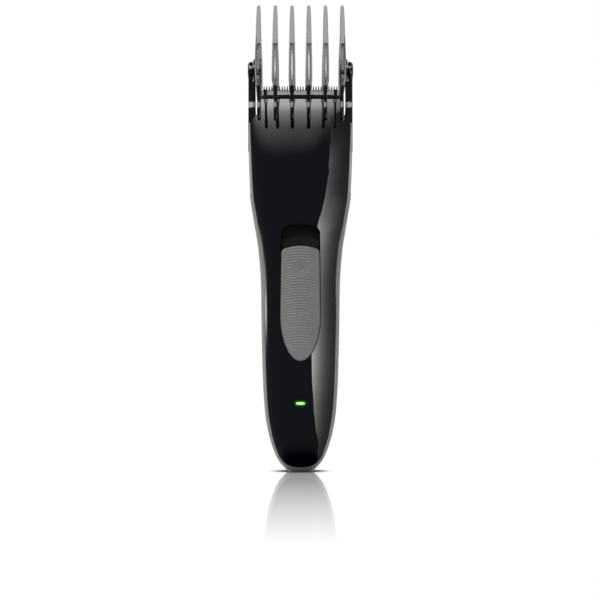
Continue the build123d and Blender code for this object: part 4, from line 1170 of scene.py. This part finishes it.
def floor_finish():
    """Polished white table: its mirror image fades outwards, with a painted shadow as a dark line where the
    object stands.
    """
    f = Finish("floor")
    x, y, _ = f.axes()
    reach = f.maths("SQRT", x * x + y * y)
    # Painted shadow: the floor is made darker where the object's foot hems it in.
    painted_contact_shadow = f.node(
        "ShaderNodeAmbientOcclusion", {"samples": 8}, {"Distance": 0.009, "Color": WHITE}, output="AO"
    )
    mirror = f.node("ShaderNodeBsdfGlossy", inputs={"Color": WHITE, "Roughness": 0.03})
    share = f.limit(reach, 0.0, 0.36, 0.80, 0.0, "LINEAR")
    polished = f.between(share, f.glow(1.0), mirror)
    shaded = f.between(f.limit(painted_contact_shadow, 0.35, 0.85), f.glow(0.04), polished)
    glossy_ray, = f.outputs("ShaderNodeLightPath", ["Is Glossy Ray"])
    absent = f.node("ShaderNodeBsdfTransparent")
    return f.done(f.between(glossy_ray, shaded, absent))


def board_finish():
    """White board, with the faintest unevenness."""
    f = Finish("backdrop")
    return f.done(f.between(f.limit(f.noise(400.0), 0.3, 0.7), f.glow(1.0), f.glow(1.002)))


def side_card():
    """Curved light at the right: sharp at its front edge, fading backwards and upwards."""
    f = Finish("side_card")
    x, y, z = f.axes()
    azimuth = f.maths("ARCTAN2", x, -1 * y) * (180 / math.pi)
    high = f.limit(z, 0.10, 0.16)
    border = azimuth - f.limit(z, 0.22, 0.46, 30.0, 17.0, "LINEAR")
    edge = 0.6 * high * f.maths("EXPONENT", f.maths("MAXIMUM", border, 0.0) * (-1 / 5))
    fade = f.maths("EXPONENT", (azimuth - 30) * (-1 / 23)) * (1 - 0.2 * high) + edge
    rise = 0.045 + 0.955 * f.maths("EXPONENT", f.maths("MAXIMUM", z - 0.03, 0.0) * (-1 / 0.105))
    rise = rise * f.limit(z, 0.24, 0.36, 1.0, 0.45)
    fall = f.limit(z, -0.06, 0.02, 0.6, 1.0, "LINEAR")
    material = f.done(f.between(fade * rise * fall * 0.85, f.glow(ROOM), f.glow(4.0)))
    front = curve_through(
        [
            (-0.42, 92), (-0.33, 77), (-0.25, 62), (-0.19, 51), (-0.14, 43), (-0.08, 35.5), (-0.03, 29.5),
            (0.0, 26), (0.06, 23.5), (0.10, 25), (0.13, 27.8), (0.16, 29), (0.195, 30.4), (0.215, 30.8),
            (0.235, 29), (0.26, 26.3), (0.30, 24.1), (0.35, 21.8), (0.40, 19.2), (0.45, 17.5), (0.50, 16.3),
        ], 96,
    )
    steps = 40
    vertices = [
        (CARD_RADIUS * math.sin(turn), -CARD_RADIUS * math.cos(turn), height)
        for height, edge in front for turn in np.radians(np.linspace(edge, 122, steps))
    ]
    return stage_mesh("side_card", vertices, grid_faces(len(front), steps), material)


def left_strip():
    """Small upright light close behind the left flank."""
    f = Finish("left_strip")
    _, _, z = f.axes()
    off = (z - 0.069) * (1 / 0.011)
    near = f.maths("EXPONENT", off * off * -1)
    material = f.done(f.between(near, f.glow(ROOM), f.glow(2.4)))
    corners = []
    for turn, height in ((-119, 0.045), (-107, 0.045), (-107, 0.095), (-119, 0.095)):
        turn = math.radians(turn)
        corners.append((STRIP_RADIUS * math.sin(turn), -STRIP_RADIUS * math.cos(turn), height))
    return stage_mesh("left_strip", corners, [(0, 1, 2, 3)], material)


turns = np.linspace(0, 2 * math.pi, 97)[:-1]
rim = [(FLOOR_REACH * math.cos(t), FLOOR_REACH * math.sin(t), 0) for t in turns]
stage_mesh("floor", rim, [range(96)], floor_finish())
board = [(-2.1, 1.6, -0.6), (2.1, 1.6, -0.6), (2.1, 1.6, 2.4), (-2.1, 1.6, 2.4)]
stage_mesh("backdrop", board, [range(4)], board_finish())
for card in (side_card(), left_strip()):
    card.visible_camera = False
    card.visible_transmission = False


def studio():
    """Dim room with a wide soft light high in front, and white behind whatever is looked at."""
    world = bpy.data.worlds.new("studio")
    f = Finish("studio", world)
    way = f.node("ShaderNodeTexCoord", output="Generated")
    x, y, z = f.outputs("ShaderNodeSeparateXYZ", "XYZ", {0: way})
    azimuth = f.maths("ARCTAN2", x, -1 * y) * (180 / math.pi)
    height = f.maths("ARCSINE", z) * (180 / math.pi)
    slant = f.limit(azimuth, -85, 10, 0.0, 1.0, "LINEAR")
    climb = f.limit(height - slant * slant * 15 - 4.5, 0.0, 33.0, 0.0, 1.0, "LINEAR")
    ends = f.limit(azimuth, -104, -76) * f.limit(azimuth, 45, 100, 1.0, 0.0)
    top = climb * climb * ends * f.limit(height, 49, 56, 1.0, 0.0)

    def back(strength):
        return f.node("ShaderNodeBackground", inputs={"Color": WHITE, "Strength": strength})

    low = f.between(f.limit(height, -46, -27), back(0.0), back(ROOM))
    lit = f.between(top, low, back(5.6))
    camera_ray, glossy_ray, clear_ray, bounces = f.outputs(
        "ShaderNodeLightPath", ["Is Camera Ray", "Is Glossy Ray", "Is Transmission Ray", "Glossy Depth"]
    )
    behind = f.maths("MAXIMUM", glossy_ray, clear_ray) * f.limit(y, 0.60, 0.64)
    through = clear_ray * f.limit(bounces, 0.2, 0.8, 1.0, 0.0)
    white = f.maths("MAXIMUM", camera_ray, f.maths("MAXIMUM", behind, through))
    f.done(f.between(white, lit, back(1.0)))
    bpy.context.scene.world = world


studio()

# ======== camera
lens = bpy.data.cameras.new("camera")
lens.lens = 160
lens.sensor_width = 36
lens.clip_end = 20
camera = bpy.data.objects.new("camera", lens)
bpy.context.collection.objects.link(camera)
camera.location = (-0.0002, -1.2, 0.07695)
camera.rotation_euler = (math.pi / 2, 0, 0)
bpy.context.scene.camera = camera
bpy.context.scene.view_settings.view_transform = "Standard"
